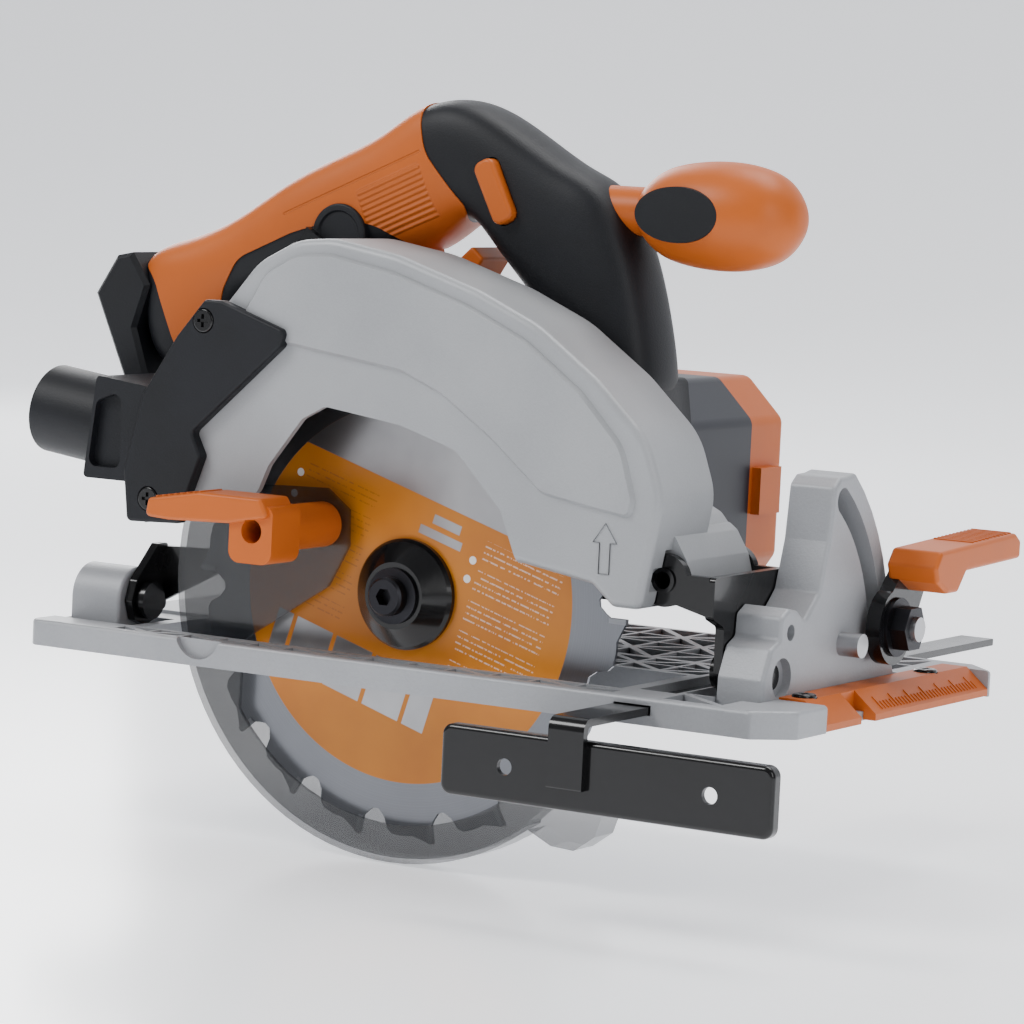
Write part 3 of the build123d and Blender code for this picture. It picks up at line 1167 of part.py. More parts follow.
def lean_block(length, width, u0, u1, grow=0.0):
    """Block square to the grip's underside, from u0 to u1 above the stem's foot."""
    lean = math.radians(LEAN)
    plane = Plane(origin=(STEM[0] - math.sin(lean) * u0, HANDLE_Y, STEM[1] + math.cos(lean) * u0),
                  x_dir=(math.cos(lean), 0, math.sin(lean)), z_dir=(-math.sin(lean), 0, math.cos(lean)))
    with BuildPart() as piece:
        with BuildSketch(plane):
            Rectangle(length + 2 * grow, width + 2 * grow)
        extrude(amount=u1 - u0)
    return piece.part


def stem_slot():
    return lean_block(12.0, 8.0, -12.0, 14.0, GAP)


def make_trigger():
    """Finger trigger with its stem, which runs up into the grip."""
    finger = [(-32.0, 123.0), (-31.0, 126.6), (-8.0, 133.6), (-3.0, 135.6), (4.0, 142.0), (8.6, 138.0), (3.0, 129.0),
              (-6.0, 123.5), (-18.0, 119.0), (-27.0, 119.0)]
    with BuildPart() as trigger:
        add(slab(finger, HANDLE_Y - 9.0, HANDLE_Y + 9.0, 1.2))
        fillet(trigger.edges().group_by(Axis.Y)[0], 1.0)
        fillet(trigger.edges().group_by(Axis.Y)[-1], 1.0)
        add(lean_block(12.0, 8.0, -11.0, 7.0))
    return trigger.part


def make_lock_off():
    """Pill-shaped safety button on the near side of the handle."""
    lean = math.radians(-63)
    plane = Plane(origin=(LOCK_OFF[0], HANDLE_Y - HANDLE_HALF - 2.4, LOCK_OFF[1]),
                  x_dir=(math.cos(lean), 0, math.sin(lean)), z_dir=(0, 1, 0))
    with BuildPart() as button:
        with BuildSketch(plane):
            RectangleRounded(22.0, 8.0, 3.0)
        extrude(amount=9.0)
        fillet(button.edges().group_by(Axis.Y)[0], 1.4)
    return button.part


def lock_off_pocket():
    lean = math.radians(-63)
    plane = Plane(origin=(LOCK_OFF[0], HANDLE_Y - HANDLE_HALF - 5, LOCK_OFF[1]),
                  x_dir=(math.cos(lean), 0, math.sin(lean)), z_dir=(0, 1, 0))
    with BuildPart() as pocket:
        with BuildSketch(plane):
            RectangleRounded(22.0 + 2 * GAP, 8.0 + 2 * GAP, 3.0 + GAP)
        extrude(amount=15.0)
    return pocket.part


LOCK_OFF = (17.0, 160.5)
HANDLE_SCREWS = ((-8.0, 178.0), (-100.0, 95.0), (60.0, 112.0), (-60.0, 95.0))
SCREW_SEAT_Y = HANDLE_Y + HANDLE_HALF - 2.0
GRIP = make_grip()
SHELL = make_handle_shell(GRIP)
with BuildPart() as left_shell:
    add(SHELL)
    add(lock_off_pocket(), mode=Mode.SUBTRACT)
save(left_shell.part, "handle_shell_left")
with BuildPart() as right_shell:
    add(mirrored(SHELL))
    for screw_x, screw_z in HANDLE_SCREWS:
        add(rod_y(screw_x, screw_z, 3.5, SCREW_SEAT_Y, SCREW_SEAT_Y + 10), mode=Mode.SUBTRACT)
        add(rod_y(screw_x, screw_z, 1.5 + RUN, SCREW_SEAT_Y - 12, SCREW_SEAT_Y + 1), mode=Mode.SUBTRACT)
save(right_shell.part, "handle_shell_right")
save(GRIP, "grip_left")
save(mirrored(GRIP), "grip_right")
save(make_trigger(), "trigger")
save(make_lock_off(), "lock_off_button")


def make_battery_shoe():
    """Rear block with the rails that the battery slides onto."""
    block_outline = [(-128.0, 132.4), (-134.5, 131.0), (-143.0, 117.5), (-127.5, 84.0), (-117.5, 84.0),
                     (-125.5, 106.5), (-120.5, 121.5)]
    with BuildPart() as shoe:
        add(slab(block_outline, HANDLE_Y - HANDLE_HALF, HANDLE_Y + HANDLE_HALF))
        chamfer(shoe.edges().group_by(Axis.Y)[0], 1.5)
        chamfer(shoe.edges().group_by(Axis.Y)[-1], 1.5)
        rail = [(-141.8, 107.8), (-135.5, 110.8), (-125.8, 89.7), (-132.1, 86.7)]
        for y0, y1 in ((HANDLE_Y - 12, HANDLE_Y - 9), (HANDLE_Y + 9, HANDLE_Y + 12)):
            add(slab(rail, y0, y1), mode=Mode.SUBTRACT)
        add(slab(rail, HANDLE_Y - 5, HANDLE_Y + 5), mode=Mode.SUBTRACT)
    return shoe.part


save(make_battery_shoe(), "battery_shoe")


def make_terminal_block():
    with BuildPart() as terminals:
        outline = [(-137.2, 109.1), (-135.2, 110.05), (-126.2, 90.4), (-128.2, 89.5)]
        add(slab(outline, HANDLE_Y - 4.5, HANDLE_Y - 2.5))
        add(slab(outline, HANDLE_Y - 0.8, HANDLE_Y + 0.8))
        add(slab(outline, HANDLE_Y + 2.5, HANDLE_Y + 4.5))
    return terminals.part


save(make_terminal_block(), "terminal_blades")
save(lean_block(30.0, 18.0, 15.0, 29.0), "switch_body")
save(block((-70.0, -34.0), (HANDLE_Y - 10, HANDLE_Y + 10), (92.0, 93.6)), "control_board")


def make_handle_screws():
    with BuildPart() as screws:
        for x, z in HANDLE_SCREWS:
            add(tapped_screw(x, SCREW_SEAT_Y, z, 3.2, 1.8, 1.5, 3.2, (0, -1, 0)))
    return screws.part


# ================================================================ front knob
def make_front_knob():
    """Egg-shaped front handle on a round neck."""
    profile = [(44.5, 0.0), (44.5, KNOB_NECK_R - RUN), (64.8, KNOB_NECK_R - RUN), (67.4, 10.6), (72.0, 13.8),
               (81.0, 16.5), (91.0, KNOB_R), (100.0, 17.2), (108.0, 15.6)]
    with BuildPart() as knob:
        with BuildSketch(Plane(origin=(0, HANDLE_Y, KNOB_Z), x_dir=(1, 0, 0), z_dir=(0, -1, 0))):
            with BuildLine():
                Line(profile[0], profile[1])
                Line(profile[1], profile[2])
                Spline(*profile[2:])
                Line(profile[-1], (108.0, 0.0))
                Line((108.0, 0.0), profile[0])
            make_face()
        revolve(axis=Axis((0, HANDLE_Y, KNOB_Z), (1, 0, 0)))
        for y in (HANDLE_Y - KNOB_R - 2, HANDLE_Y + KNOB_R + 2):
            add(knob_insert_block(y), mode=Mode.SUBTRACT)
    return knob.part


def knob_insert_block(y):
    """Lens that cuts the thumb rest out of the knob's side."""
    with BuildPart() as piece:
        with BuildSketch(side(y + 7.2)):
            with Locations((INSERT_CENTRE_X, KNOB_Z)):
                Ellipse(15.0, 9.0)
        extrude(amount=14.4)
    return piece.part


def make_knob_inserts(knob):
    with BuildPart() as inserts:
        for y in (HANDLE_Y - KNOB_R + 0.3, HANDLE_Y + KNOB_R - 0.3):
            sign = 1 if y < HANDLE_Y else -1
            with BuildSketch(side(y + 2.6 * sign + 2.4)):
                with Locations((INSERT_CENTRE_X, KNOB_Z)):
                    Ellipse(14.9, 8.9)
            extrude(amount=4.8)
        add(knob, mode=Mode.SUBTRACT)
    return inserts.part


def make_knob_cap():
    """End cap of the knob beyond its parting line."""
    with BuildPart() as cap:
        with BuildSketch(Plane(origin=(0, HANDLE_Y, KNOB_Z), x_dir=(1, 0, 0), z_dir=(0, -1, 0))):
            with BuildLine():
                Line((108.0, 0.0), (108.0, 15.6))
                Spline((108.0, 15.6), (114.5, 12.4), (119.0, 7.4), (KNOB_END_X, 0.0), tangents=((1, -0.3), (0, -1)))
                Line((KNOB_END_X, 0.0), (108.0, 0.0))
            make_face()
        revolve(axis=Axis((0, HANDLE_Y, KNOB_Z), (1, 0, 0)))
    return cap.part


KNOB = make_front_knob()
save(make_handle_screws(), "handle_screws")
save(KNOB, "front_knob")
save(make_knob_inserts(KNOB), "knob_inserts")
save(make_knob_cap(), "knob_cap")
print("written", len(os.listdir("parts")))
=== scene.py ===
# %% [markdown]
# # A cordless circular saw
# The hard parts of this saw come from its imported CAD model, which already has every casting, plate and screw
# in its place. Blender adds what a CAD solid cannot show: a softly rounded handle, raised marks and ribs,
# and a finish for every surface. Everything is in metres and in the CAD model's own frame: X points the way
# the saw cuts, Y goes from the blade to the motor, and Z is up.

# %% Load the fixed frame
import bpy
import bmesh
import json
import math
from mathutils import Matrix, Vector


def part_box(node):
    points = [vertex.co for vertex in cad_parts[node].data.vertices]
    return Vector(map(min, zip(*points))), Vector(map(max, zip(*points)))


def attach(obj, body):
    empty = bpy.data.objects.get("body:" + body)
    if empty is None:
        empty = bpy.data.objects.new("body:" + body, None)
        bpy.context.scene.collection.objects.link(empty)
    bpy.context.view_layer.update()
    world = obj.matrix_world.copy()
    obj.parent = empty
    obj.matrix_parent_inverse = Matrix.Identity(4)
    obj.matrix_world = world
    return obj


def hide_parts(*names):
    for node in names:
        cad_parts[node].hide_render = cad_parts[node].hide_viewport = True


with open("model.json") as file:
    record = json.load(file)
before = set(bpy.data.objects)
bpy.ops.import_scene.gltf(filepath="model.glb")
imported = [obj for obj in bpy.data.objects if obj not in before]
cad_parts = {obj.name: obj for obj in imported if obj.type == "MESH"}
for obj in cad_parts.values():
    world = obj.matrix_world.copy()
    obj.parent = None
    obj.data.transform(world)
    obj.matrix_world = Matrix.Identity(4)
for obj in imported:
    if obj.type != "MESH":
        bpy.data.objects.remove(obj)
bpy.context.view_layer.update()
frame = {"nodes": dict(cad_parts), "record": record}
nodes = frame["nodes"]

# %% [markdown]
# ## Camera
# A product shot is taken with a long lens, so that near and far parts of the tool keep their proportions.
# The camera stands off to the front and a little above the sole, turned about its own axis by a few degrees.
# Its three axes are worked out from those angles and set as one matrix.

# %% The camera
azimuth, elevation, roll = (math.radians(a) for a in (30.728, 5.442, 2.772))
backward = Vector((math.sin(azimuth) * math.cos(elevation), -math.cos(azimuth) * math.cos(elevation),
                   math.sin(elevation)))
level = Vector((math.cos(azimuth), math.sin(azimuth), 0))
upright = backward.cross(level)
right = math.cos(roll) * level + math.sin(roll) * upright
up = math.cos(roll) * upright - math.sin(roll) * level
focal_length = 146.08
film_width = 36
camera_place = (0.71872, -1.14518, 0.18529)
lens = bpy.data.cameras.new("product_lens")
lens.lens = focal_length
lens.sensor_width = film_width
camera = bpy.data.objects.new("product_camera", lens)
camera.matrix_world = Matrix((right, up, backward)).transposed().to_4x4()
camera.matrix_world.translation = camera_place
bpy.context.scene.collection.objects.link(camera)
bpy.context.scene.camera = camera
print("camera", round(lens.lens, 1), "mm lens")

# %% [markdown]
# ## Studio
# The saw rests on its lower guard, so the floor lies just below the lowest point of that guard. A floor that
# curves up into a wall has no horizon line. Big soft area lights give long, quiet highlights on the glossy
# parts, and a gentle world light keeps the shadows open.

# %% Floor and lights
floor_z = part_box("lower_guard")[0].z - 0.0006
sweep = bmesh.new()
corners = [sweep.verts.new(p) for p in ((-7, -7, floor_z), (7, -7, floor_z), (7, 4, floor_z),
                                        (-7, 4, floor_z))]
sweep.faces.new(corners)
far_edge = [e for e in sweep.edges if all(v.co.y > 3 for v in e.verts)]
raised = bmesh.ops.extrude_edge_only(sweep, edges=far_edge)
bmesh.ops.translate(sweep, vec=(0, 0, 6),
                    verts=[v for v in raised["geom"] if isinstance(v, bmesh.types.BMVert)])
bend = [e for e in sweep.edges if all(abs(v.co.y - 4) < 0.01 and v.co.z < floor_z + 0.1 for v in e.verts)]
bmesh.ops.bevel(sweep, geom=bend, offset=2.5, affect="EDGES", segments=16, profile=0.5, material=-1)
backdrop_mesh = bpy.data.meshes.new("backdrop")
sweep.to_mesh(backdrop_mesh)
sweep.free()
backdrop_mesh.polygons.foreach_set("use_smooth", [True] * len(backdrop_mesh.polygons))
backdrop = bpy.data.objects.new("backdrop", backdrop_mesh)
bpy.context.scene.collection.objects.link(backdrop)


def soft_light(name, place, target, width, height, power):
    """An area light at a place, turned to face a target."""
    lamp = bpy.data.lights.new(name, "AREA")
    lamp.shape = "RECTANGLE"
    lamp.size = width
    lamp.size_y = height
    lamp.energy = power
    holder = bpy.data.objects.new(name, lamp)
    holder.matrix_world = (Vector(target) - Vector(place)).to_track_quat("-Z", "Y").to_matrix().to_4x4()
    holder.matrix_world.translation = place
    bpy.context.scene.collection.objects.link(holder)


soft_light("key", (-1.1, -1.3, 1.6), (0, 0, 0.06), 1.0, 0.7, 34)
soft_light("fill", (1.7, -1.0, 0.8), (0, 0, 0.08), 0.7, 1.2, 11)
soft_light("top", (0.2, 0.5, 1.8), (0, 0.02, 0.05), 1.4, 0.8, 26)
soft_light("rim", (-1.3, 1.2, 0.8), (0, 0.05, 0.1), 0.6, 1.2, 18)
world = bpy.data.worlds.new("studio")
world.use_nodes = True
world.node_tree.nodes["Background"].inputs["Color"].default_value = (0.96, 0.97, 1.0, 1)
world.node_tree.nodes["Background"].inputs["Strength"].default_value = 0.32
bpy.context.scene.world = world
print("floor at", round(floor_z * 1000, 1), "mm")

# %% [markdown]
# ## Shader maths in Python
# A finish is built from nodes. Wrapping a socket in a small class lets the maths be written as plain
# expressions, such as `1 - mask`, and each operator adds its own Math node. All other nodes come from one
# method, so every finish below reads as a short recipe.


# %% The wrapped socket and the finish
class Field:
    """A value that varies over the surface."""

    def __init__(self, finish, socket):
        self.finish, self.socket = finish, socket

    def maths(self, operation, *values):
        return self.finish.node("ShaderNodeMath", {"operation": operation}, dict(enumerate(values)))

    def __add__(self, other):
        return self.maths("ADD", self, other)

    def __radd__(self, other):
        return self.maths("ADD", other, self)

    def __sub__(self, other):
        return self.maths("SUBTRACT", self, other)

    def __rsub__(self, other):
        return self.maths("SUBTRACT", other, self)

    def __mul__(self, other):
        return self.maths("MULTIPLY", self, other)

    def __rmul__(self, other):
        return self.maths("MULTIPLY", other, self)

    def __truediv__(self, other):
        return self.maths("DIVIDE", self, other)

    def rises(self, low, high):
        """0 below low, 1 above high, with a soft step between."""
        return self.finish.node("ShaderNodeMapRange", {"interpolation_type": "SMOOTHSTEP"},
                                {"Value": self, "From Min": low, "From Max": high})

    def within(self, low, high, edge=0.0002):
        """1 between low and high."""
        return self.rises(low - edge, low + edge) * (1 - self.rises(high - edge, high + edge))


class Finish:
    """One material: constants sit on the shader's own sockets, and Fields are linked to it."""

    def __init__(self, name, **constants):
        self.material = bpy.data.materials.new(name)
        self.material.use_nodes = True
        self.tree = self.material.node_tree
        self.shader = self.tree.nodes["Principled BSDF"]
        for key, value in constants.items():
            socket = key.replace("_", " ").title().replace("Ior", "IOR")
            self.shader.inputs[socket].default_value = value
        self.place = self.node("ShaderNodeTexCoord", out="Object")
        axes = self.node("ShaderNodeSeparateXYZ", sockets={0: self.place}).socket.node
        self.x, self.y, self.z = (Field(self, s) for s in axes.outputs)

    def node(self, kind, settings=None, sockets=None, out=0):
        made = self.tree.nodes.new(kind)
        for key, value in (settings or {}).items():
            setattr(made, key, value)
        for key, value in (sockets or {}).items():
            if isinstance(value, Field):
                self.tree.links.new(value.socket, made.inputs[key])
            else:
                made.inputs[key].default_value = value
        return Field(self, made.outputs[out])

    def noise(self, scale, detail=2.0, where=None):
        return self.node("ShaderNodeTexNoise", {},
                         {"Vector": where or self.place, "Scale": scale, "Detail": detail})

    def blend(self, mask, first, second):
        """The first colour where the mask is 0 and the second where it is 1."""
        colours = [c if isinstance(c, Field) else (*c, 1) for c in (first, second)]
        return self.node("ShaderNodeMix", {"data_type": "RGBA"},
                         {0: mask, 6: colours[0], 7: colours[1]}, out=2)

    def show(self, socket, field):
        self.tree.links.new(field.socket, self.shader.inputs[socket])

    def raise_by(self, height, distance, strength=1.0):
        bumped = self.node("ShaderNodeBump", {},
                           {"Height": height, "Distance": distance, "Strength": strength})
        self.show("Normal", bumped)


print("shader helpers ready")

# %% [markdown]
# ## Finish: painted casting
# The blade cover, the sole and the tilt quadrant are cast alloy under a thin silver-grey paint. The sand of
# the mould leaves a fine, even grain, so a small noise drives the bump, and a slow, wide noise keeps the
# grey from looking flat. Real paint also gathers a little dust and shine unevenly, which is in the
# roughness.


# %% Painted casting
def casting(name, colour, grain=1500.0, depth=0.00011):
    paint = Finish(name, metallic=0.25, coat_weight=0.12, coat_roughness=0.35)
    cloud = paint.noise(22, 3)
    sand = paint.noise(grain, 2)
    speck = paint.noise(grain * 2.3, 1)
    darker = tuple(c * 0.86 for c in colour)
    lighter = tuple(min(1, c * 1.08) for c in colour)
    paint.show("Base Color", paint.blend(cloud.rises(0.3, 0.7) * 0.5 + sand * 0.5, darker, lighter))
    paint.show("Roughness", 0.4 + cloud * 0.12 + speck * 0.08)
    paint.raise_by(sand * 0.7 + speck * 0.3, depth, 0.8)
    return paint.material


cover_paint = casting("cast_cover", (0.36, 0.37, 0.385))
sole_paint = casting("cast_sole", (0.35, 0.36, 0.38), 1100, 0.00016)
print("casting paints:", cover_paint.name, sole_paint.name)

# %% [markdown]
# ## Finish: moulded plastic
# Plastic parts take the texture that was sparked into the steel mould: a fine leathery grain on the black
# parts and an almost smooth satin on the orange ones. The grain is two noises of different size, and a
# little of it goes into the roughness, so that highlights break up as they do on the real tool.


# %% Moulded plastic
def moulded(name, colour, roughness, grain, depth, shade=0.12):
    plastic = Finish(name, specular_ior_level=0.32)
    broad = plastic.noise(30, 3)
    coarse = plastic.noise(grain, 2)
    fine = plastic.noise(grain * 2.5, 1)
    dark = tuple(c * (1 - shade) for c in colour)
    light = tuple(c * (1 + shade) for c in colour)
    plastic.show("Base Color", plastic.blend(broad.rises(0.35, 0.65) * 0.6 + coarse * 0.4, dark, light))
    plastic.show("Roughness", roughness - 0.04 + broad * 0.05 + coarse * 0.06)
    plastic.raise_by(coarse * 0.6 + fine * 0.4, depth, 0.7)
    return plastic


orange = (0.50, 0.105, 0.010)
black = (0.0052, 0.006, 0.0085)
orange_plastic = moulded("orange_satin", orange, 0.42, 1600, 0.00003, 0.05).material
black_plastic = moulded("black_spark", black, 0.5, 1500, 0.00012, 0.25).material
charcoal_plastic = moulded("charcoal_housing", (0.013, 0.015, 0.023), 0.4, 2400, 0.00004, 0.12).material
soft_black = moulded("soft_inlay", (0.006, 0.0068, 0.009), 0.6, 1200, 0.0001, 0.2).material
print("plastics: orange, black, charcoal, soft")

# %% [markdown]
# ## Finish: coated and bare steel
# The brackets and the fence are pressed steel dipped in glossy black, which flows into a faint orange peel
# and picks up smudges. Pins, gears and shafts are bare: their turning marks run round the axis, which a
# noise stretched along one direction gives.


# %% Steel
def coated(name, colour, roughness):
    enamel = Finish(name, coat_weight=0.25, coat_roughness=0.08, specular_ior_level=0.3)
    peel = enamel.noise(260, 2)
    smudge = enamel.noise(18, 4)
    enamel.show("Base Color", enamel.blend(smudge, colour, tuple(c * 1.6 + 0.002 for c in colour)))
    enamel.show("Roughness", roughness + smudge.rises(0.4, 0.75) * 0.14)
    enamel.raise_by(peel, 0.00012, 0.35)
    return enamel.material


def bare(name, colour, roughness, stretch=(1, 40, 1), tint=0.15):
    steel = Finish(name, metallic=1.0)
    along = steel.node("ShaderNodeMapping", {}, {"Vector": steel.place, "Scale": stretch})
    marks = steel.noise(160, 3, along)
    stain = steel.noise(40, 3)
    steel.show("Base Color", steel.blend(marks * 0.5 + stain * 0.5, tuple(c * (1 - tint) for c in colour),
                                         colour))
    steel.show("Roughness", roughness + marks * 0.12)
    steel.raise_by(marks, 0.00006, 0.4)
    return steel.material


black_steel = coated("black_enamel", (0.0022, 0.0022, 0.0026), 0.17)
dark_steel = bare("blackened_bolt", (0.035, 0.035, 0.04), 0.36)
machine_steel = bare("turned_steel", (0.5, 0.5, 0.51), 0.28)
carbide_steel = bare("carbide", (0.3, 0.31, 0.33), 0.36, (1, 1, 1))
brass = bare("terminal_brass", (0.62, 0.42, 0.16), 0.3)
copper = bare("copper_and_laminate", (0.45, 0.25, 0.16), 0.4)
board = moulded("circuit_board", (0.02, 0.10, 0.04), 0.4, 900, 0.00002).material
print("steels ready")

# %% [markdown]
# ## Finish: the blade
# The disc is ground steel, with fine rings round its axis. A printed label covers it out to three quarters
# of its radius: orange, with a bare silver band across the top, two small plates above the flange, and a row
# of silver panels below. The rows of print are only broken lines, with no letters. All of it is drawn by
# masks on the distance from the arbor and on two axes turned with the print.

# %% Blade finish
arbor_z = 0.028
disc = Finish("blade_disc", coat_weight=0.15, coat_roughness=0.2)
side_z = disc.z - arbor_z
radius = disc.node("ShaderNodeMath", {"operation": "SQRT"}, {0: disc.x * disc.x + side_z * side_z})
print_turn = math.radians(17)
across = disc.x * math.cos(print_turn) - side_z * math.sin(print_turn)
upward = disc.x * math.sin(print_turn) + side_z * math.cos(print_turn)
flat = disc.node("ShaderNodeCombineXYZ", {}, {0: across, 1: upward, 2: 0.0})
label = (1 - radius.rises(0.0623, 0.0626)) * (1 - disc.y.rises(-0.0003, -0.0001))
top_band = upward.rises(0.0323, 0.0327)
plates = across.within(0.001, 0.012) * upward.within(0.0255, 0.0287)
plates = plates + across.within(-0.003, 0.014) * upward.within(0.0207, 0.0237)
tile_wave = disc.node("ShaderNodeMath", {"operation": "FRACT"}, {0: across / 0.0165 + 10.3})
tiles = upward.within(-0.041, -0.0235) * tile_wave.within(0.05, 0.95, 0.01) * across.within(-0.045, 0.021)
silver = (top_band + plates + tiles) * label
row_wave = disc.node("ShaderNodeMath", {"operation": "FRACT"}, {0: upward / 0.0021 + 40})
stretched = disc.node("ShaderNodeMapping", {}, {"Vector": flat, "Scale": (1500, 476, 1)})
broken = disc.noise(1.0, 1, stretched).rises(0.42, 0.5)
paragraph_wave = disc.node("ShaderNodeMath", {"operation": "FRACT"}, {0: upward / 0.0105 + 40.2})
paragraph = paragraph_wave.within(0.12, 0.9, 0.01)
rows = row_wave.within(0.32, 0.56, 0.04) * broken * paragraph * upward.within(-0.019, 0.028)
left_rows = rows * across.within(-0.05, -0.021)
right_rows = rows * across.within(0.0225, 0.053)
dots = Field(disc, disc.node("ShaderNodeValue").socket)
dots.socket.default_value = 0.0
for dot_x, dot_z in ((0.0195, 0.020), (0.0195, 0.0135), (-0.0525, 0.022), (-0.0525, 0.0145)):
    dx, dz = across - dot_x, upward - dot_z
    dots = dots + (1 - (dx * dx + dz * dz).rises(1.6e-6, 2.0e-6))
fine_rings = disc.noise(2600, 1, disc.node("ShaderNodeCombineXYZ", {}, {0: radius, 1: 0.0, 2: 0.0}))
stain = disc.noise(35, 3)
bright_print = silver.rises(0.4, 0.6)
bare_tone = disc.blend(fine_rings * 0.6 + stain * 0.4, (0.13, 0.135, 0.15), (0.24, 0.25, 0.27))
foil_tone = disc.blend(stain, (0.2, 0.2, 0.21), (0.5, 0.5, 0.51))
tone = disc.blend(bright_print, bare_tone, foil_tone)
ink = disc.blend(stain.rises(0.3, 0.7), (0.47, 0.145, 0.006), (0.55, 0.185, 0.008))
ink = disc.blend(left_rows * 0.4, ink, (0.16, 0.055, 0.015))
ink = disc.blend(right_rows * 0.5, ink, (0.85, 0.78, 0.7))
ink = disc.blend(dots, ink, (0.8, 0.78, 0.75))
printed = label * (1 - silver)
disc.show("Base Color", disc.blend(printed, tone, ink))
disc.show("Metallic", 1 - printed * 0.85)
disc.show("Roughness", 0.26 + fine_rings * 0.1 + printed * 0.1)
disc.raise_by(fine_rings * 0.5 + label * 0.5, 0.00005, 0.5)
blade_steel = disc.material
print("blade finish nodes:", len(disc.tree.nodes))

# %% [markdown]
# ## Finish: smoked guard
# The lower guard is clear plastic with a dark tint, so that the teeth stay in sight. A partly transparent
# surface shows the same thing from every side, and exports well. Its own colour is almost black, with the
# sharp highlights of polished plastic, and a few hairline scratches.

# %% Smoked plastic
smoke = Finish("smoked_clear", coat_weight=0.6, coat_roughness=0.06, specular_ior_level=0.5, alpha=0.5)
scratch_axis = smoke.node("ShaderNodeMapping", {}, {"Vector": smoke.place, "Scale": (1, 1, 14)})
hairline = smoke.noise(180, 4, scratch_axis).rises(0.62, 0.7)
haze = smoke.noise(20, 3)
smoke.show("Base Color", smoke.blend(haze, (0.005, 0.006, 0.008), (0.013, 0.015, 0.019)))
smoke.show("Roughness", 0.1 + hairline * 0.15 + haze * 0.06)
smoke.material.surface_render_method = "DITHERED"
smoked = smoke.material
print("smoked guard ready")

# %% [markdown]
# ## Dress the CAD nodes
# A CAD node keeps its mesh and only its material changes. The record says which material slot each node
# belongs to, so one table gives most finishes, and a few nodes that look different in real life are named.

# %% Finishes by slot
by_slot = {"cast_metal": cover_paint, "orange_plastic": orange_plastic, "black_plastic": black_plastic,
           "black_steel": black_steel, "blade_steel": blade_steel, "carbide": carbide_steel,
           "machine_steel": machine_steel, "smoked_plastic": smoked, "soft_black": soft_black,
           "terminal_brass": brass, "copper_laminate": copper, "circuit_board": board}
by_node = {"base_plate": sole_paint, "bevel_quadrant": sole_paint, "rear_trunnion": sole_paint,
           "motor_housing": charcoal_plastic, "arbor_bolt": dark_steel, "bevel_lever_nut": dark_steel,
           "bevel_stop_pin": machine_steel}


def dress(node, material):
    mesh = nodes[node].data
    if not mesh.materials:
        mesh.materials.append(material)
    for place in nodes[node].material_slots:
        place.material = material


for part in frame["record"]["subparts"]:
    dress(part["node"], by_node.get(part["node"], by_slot[part["material_slot"]]))

# %% [markdown]
# ## Modelling helpers
# Three small steps come back for every new piece: a prism from an outline drawn on the side of the saw, a
# cut or join with another shape, and the finishing, which smooths the faces, marks the sharp edges and fixes
# the piece to its moving body.


# %% Prism, cut and finish
def millimetres(*values):
    return tuple(v / 1000 for v in values)


def prism(points, y_low, y_high, corner=0.0, rounding=4):
    """A solid from a closed X-Z outline in millimetres, with its outline's corners rounded."""
    shape = bmesh.new()
    face = shape.faces.new([shape.verts.new(millimetres(x, y_low, z)) for x, z in points])
    if corner:
        bmesh.ops.bevel(shape, geom=list(shape.verts), offset=corner / 1000, affect="VERTICES",
                        segments=rounding, profile=0.5, material=-1, clamp_overlap=True)
    grown = bmesh.ops.extrude_face_region(shape, geom=list(shape.faces))
    bmesh.ops.translate(shape, vec=millimetres(0, y_high - y_low, 0),
                        verts=[v for v in grown["geom"] if isinstance(v, bmesh.types.BMVert)])
    bmesh.ops.recalc_face_normals(shape, faces=list(shape.faces))
    return shape


def loose(shape, name):
    mesh = bpy.data.meshes.new(name)
    bmesh.ops.recalc_face_normals(shape, faces=list(shape.faces))
    shape.to_mesh(mesh)
    shape.free()
    made = bpy.data.objects.new(name, mesh)
    bpy.context.scene.collection.objects.link(made)
    return made


def settle(piece):
    """Turns the piece's live modifiers into plain mesh."""
    bpy.context.view_layer.update()
    finished = bpy.data.meshes.new_from_object(piece.evaluated_get(bpy.context.evaluated_depsgraph_get()))
    piece.modifiers.clear()
    piece.data = finished


def combine(piece, tool, operation):
    """Boolean with a loose tool, which is used up."""
    step = piece.modifiers.new("combine", "BOOLEAN")
    step.operation = operation
    step.solver = "EXACT"
    step.object = tool
    settle(piece)
    bpy.data.objects.remove(tool)


def complete(piece, body, material, sharp=35):
    piece.data.polygons.foreach_set("use_smooth", [True] * len(piece.data.polygons))
    piece.data.set_sharp_from_angle(angle=math.radians(sharp))
    piece.data.materials.clear()
    piece.data.materials.append(material)
    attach(piece, body)
    print(piece.name, "faces:", len(piece.data.polygons))


# %% [markdown]
# ## The handle
# The main handle is a closed loop: a grip, an arch that comes down in front of the hand, and a deck on the
# gearbox. A hand wants it round everywhere. The loop starts as a ladder of quads between an outer and an
# inner line, is pulled to its width, gets one bevel along its rims, and a subdivision surface rounds it.
# The arch ends in a foot that stands on the gearbox, joined on as a prism.


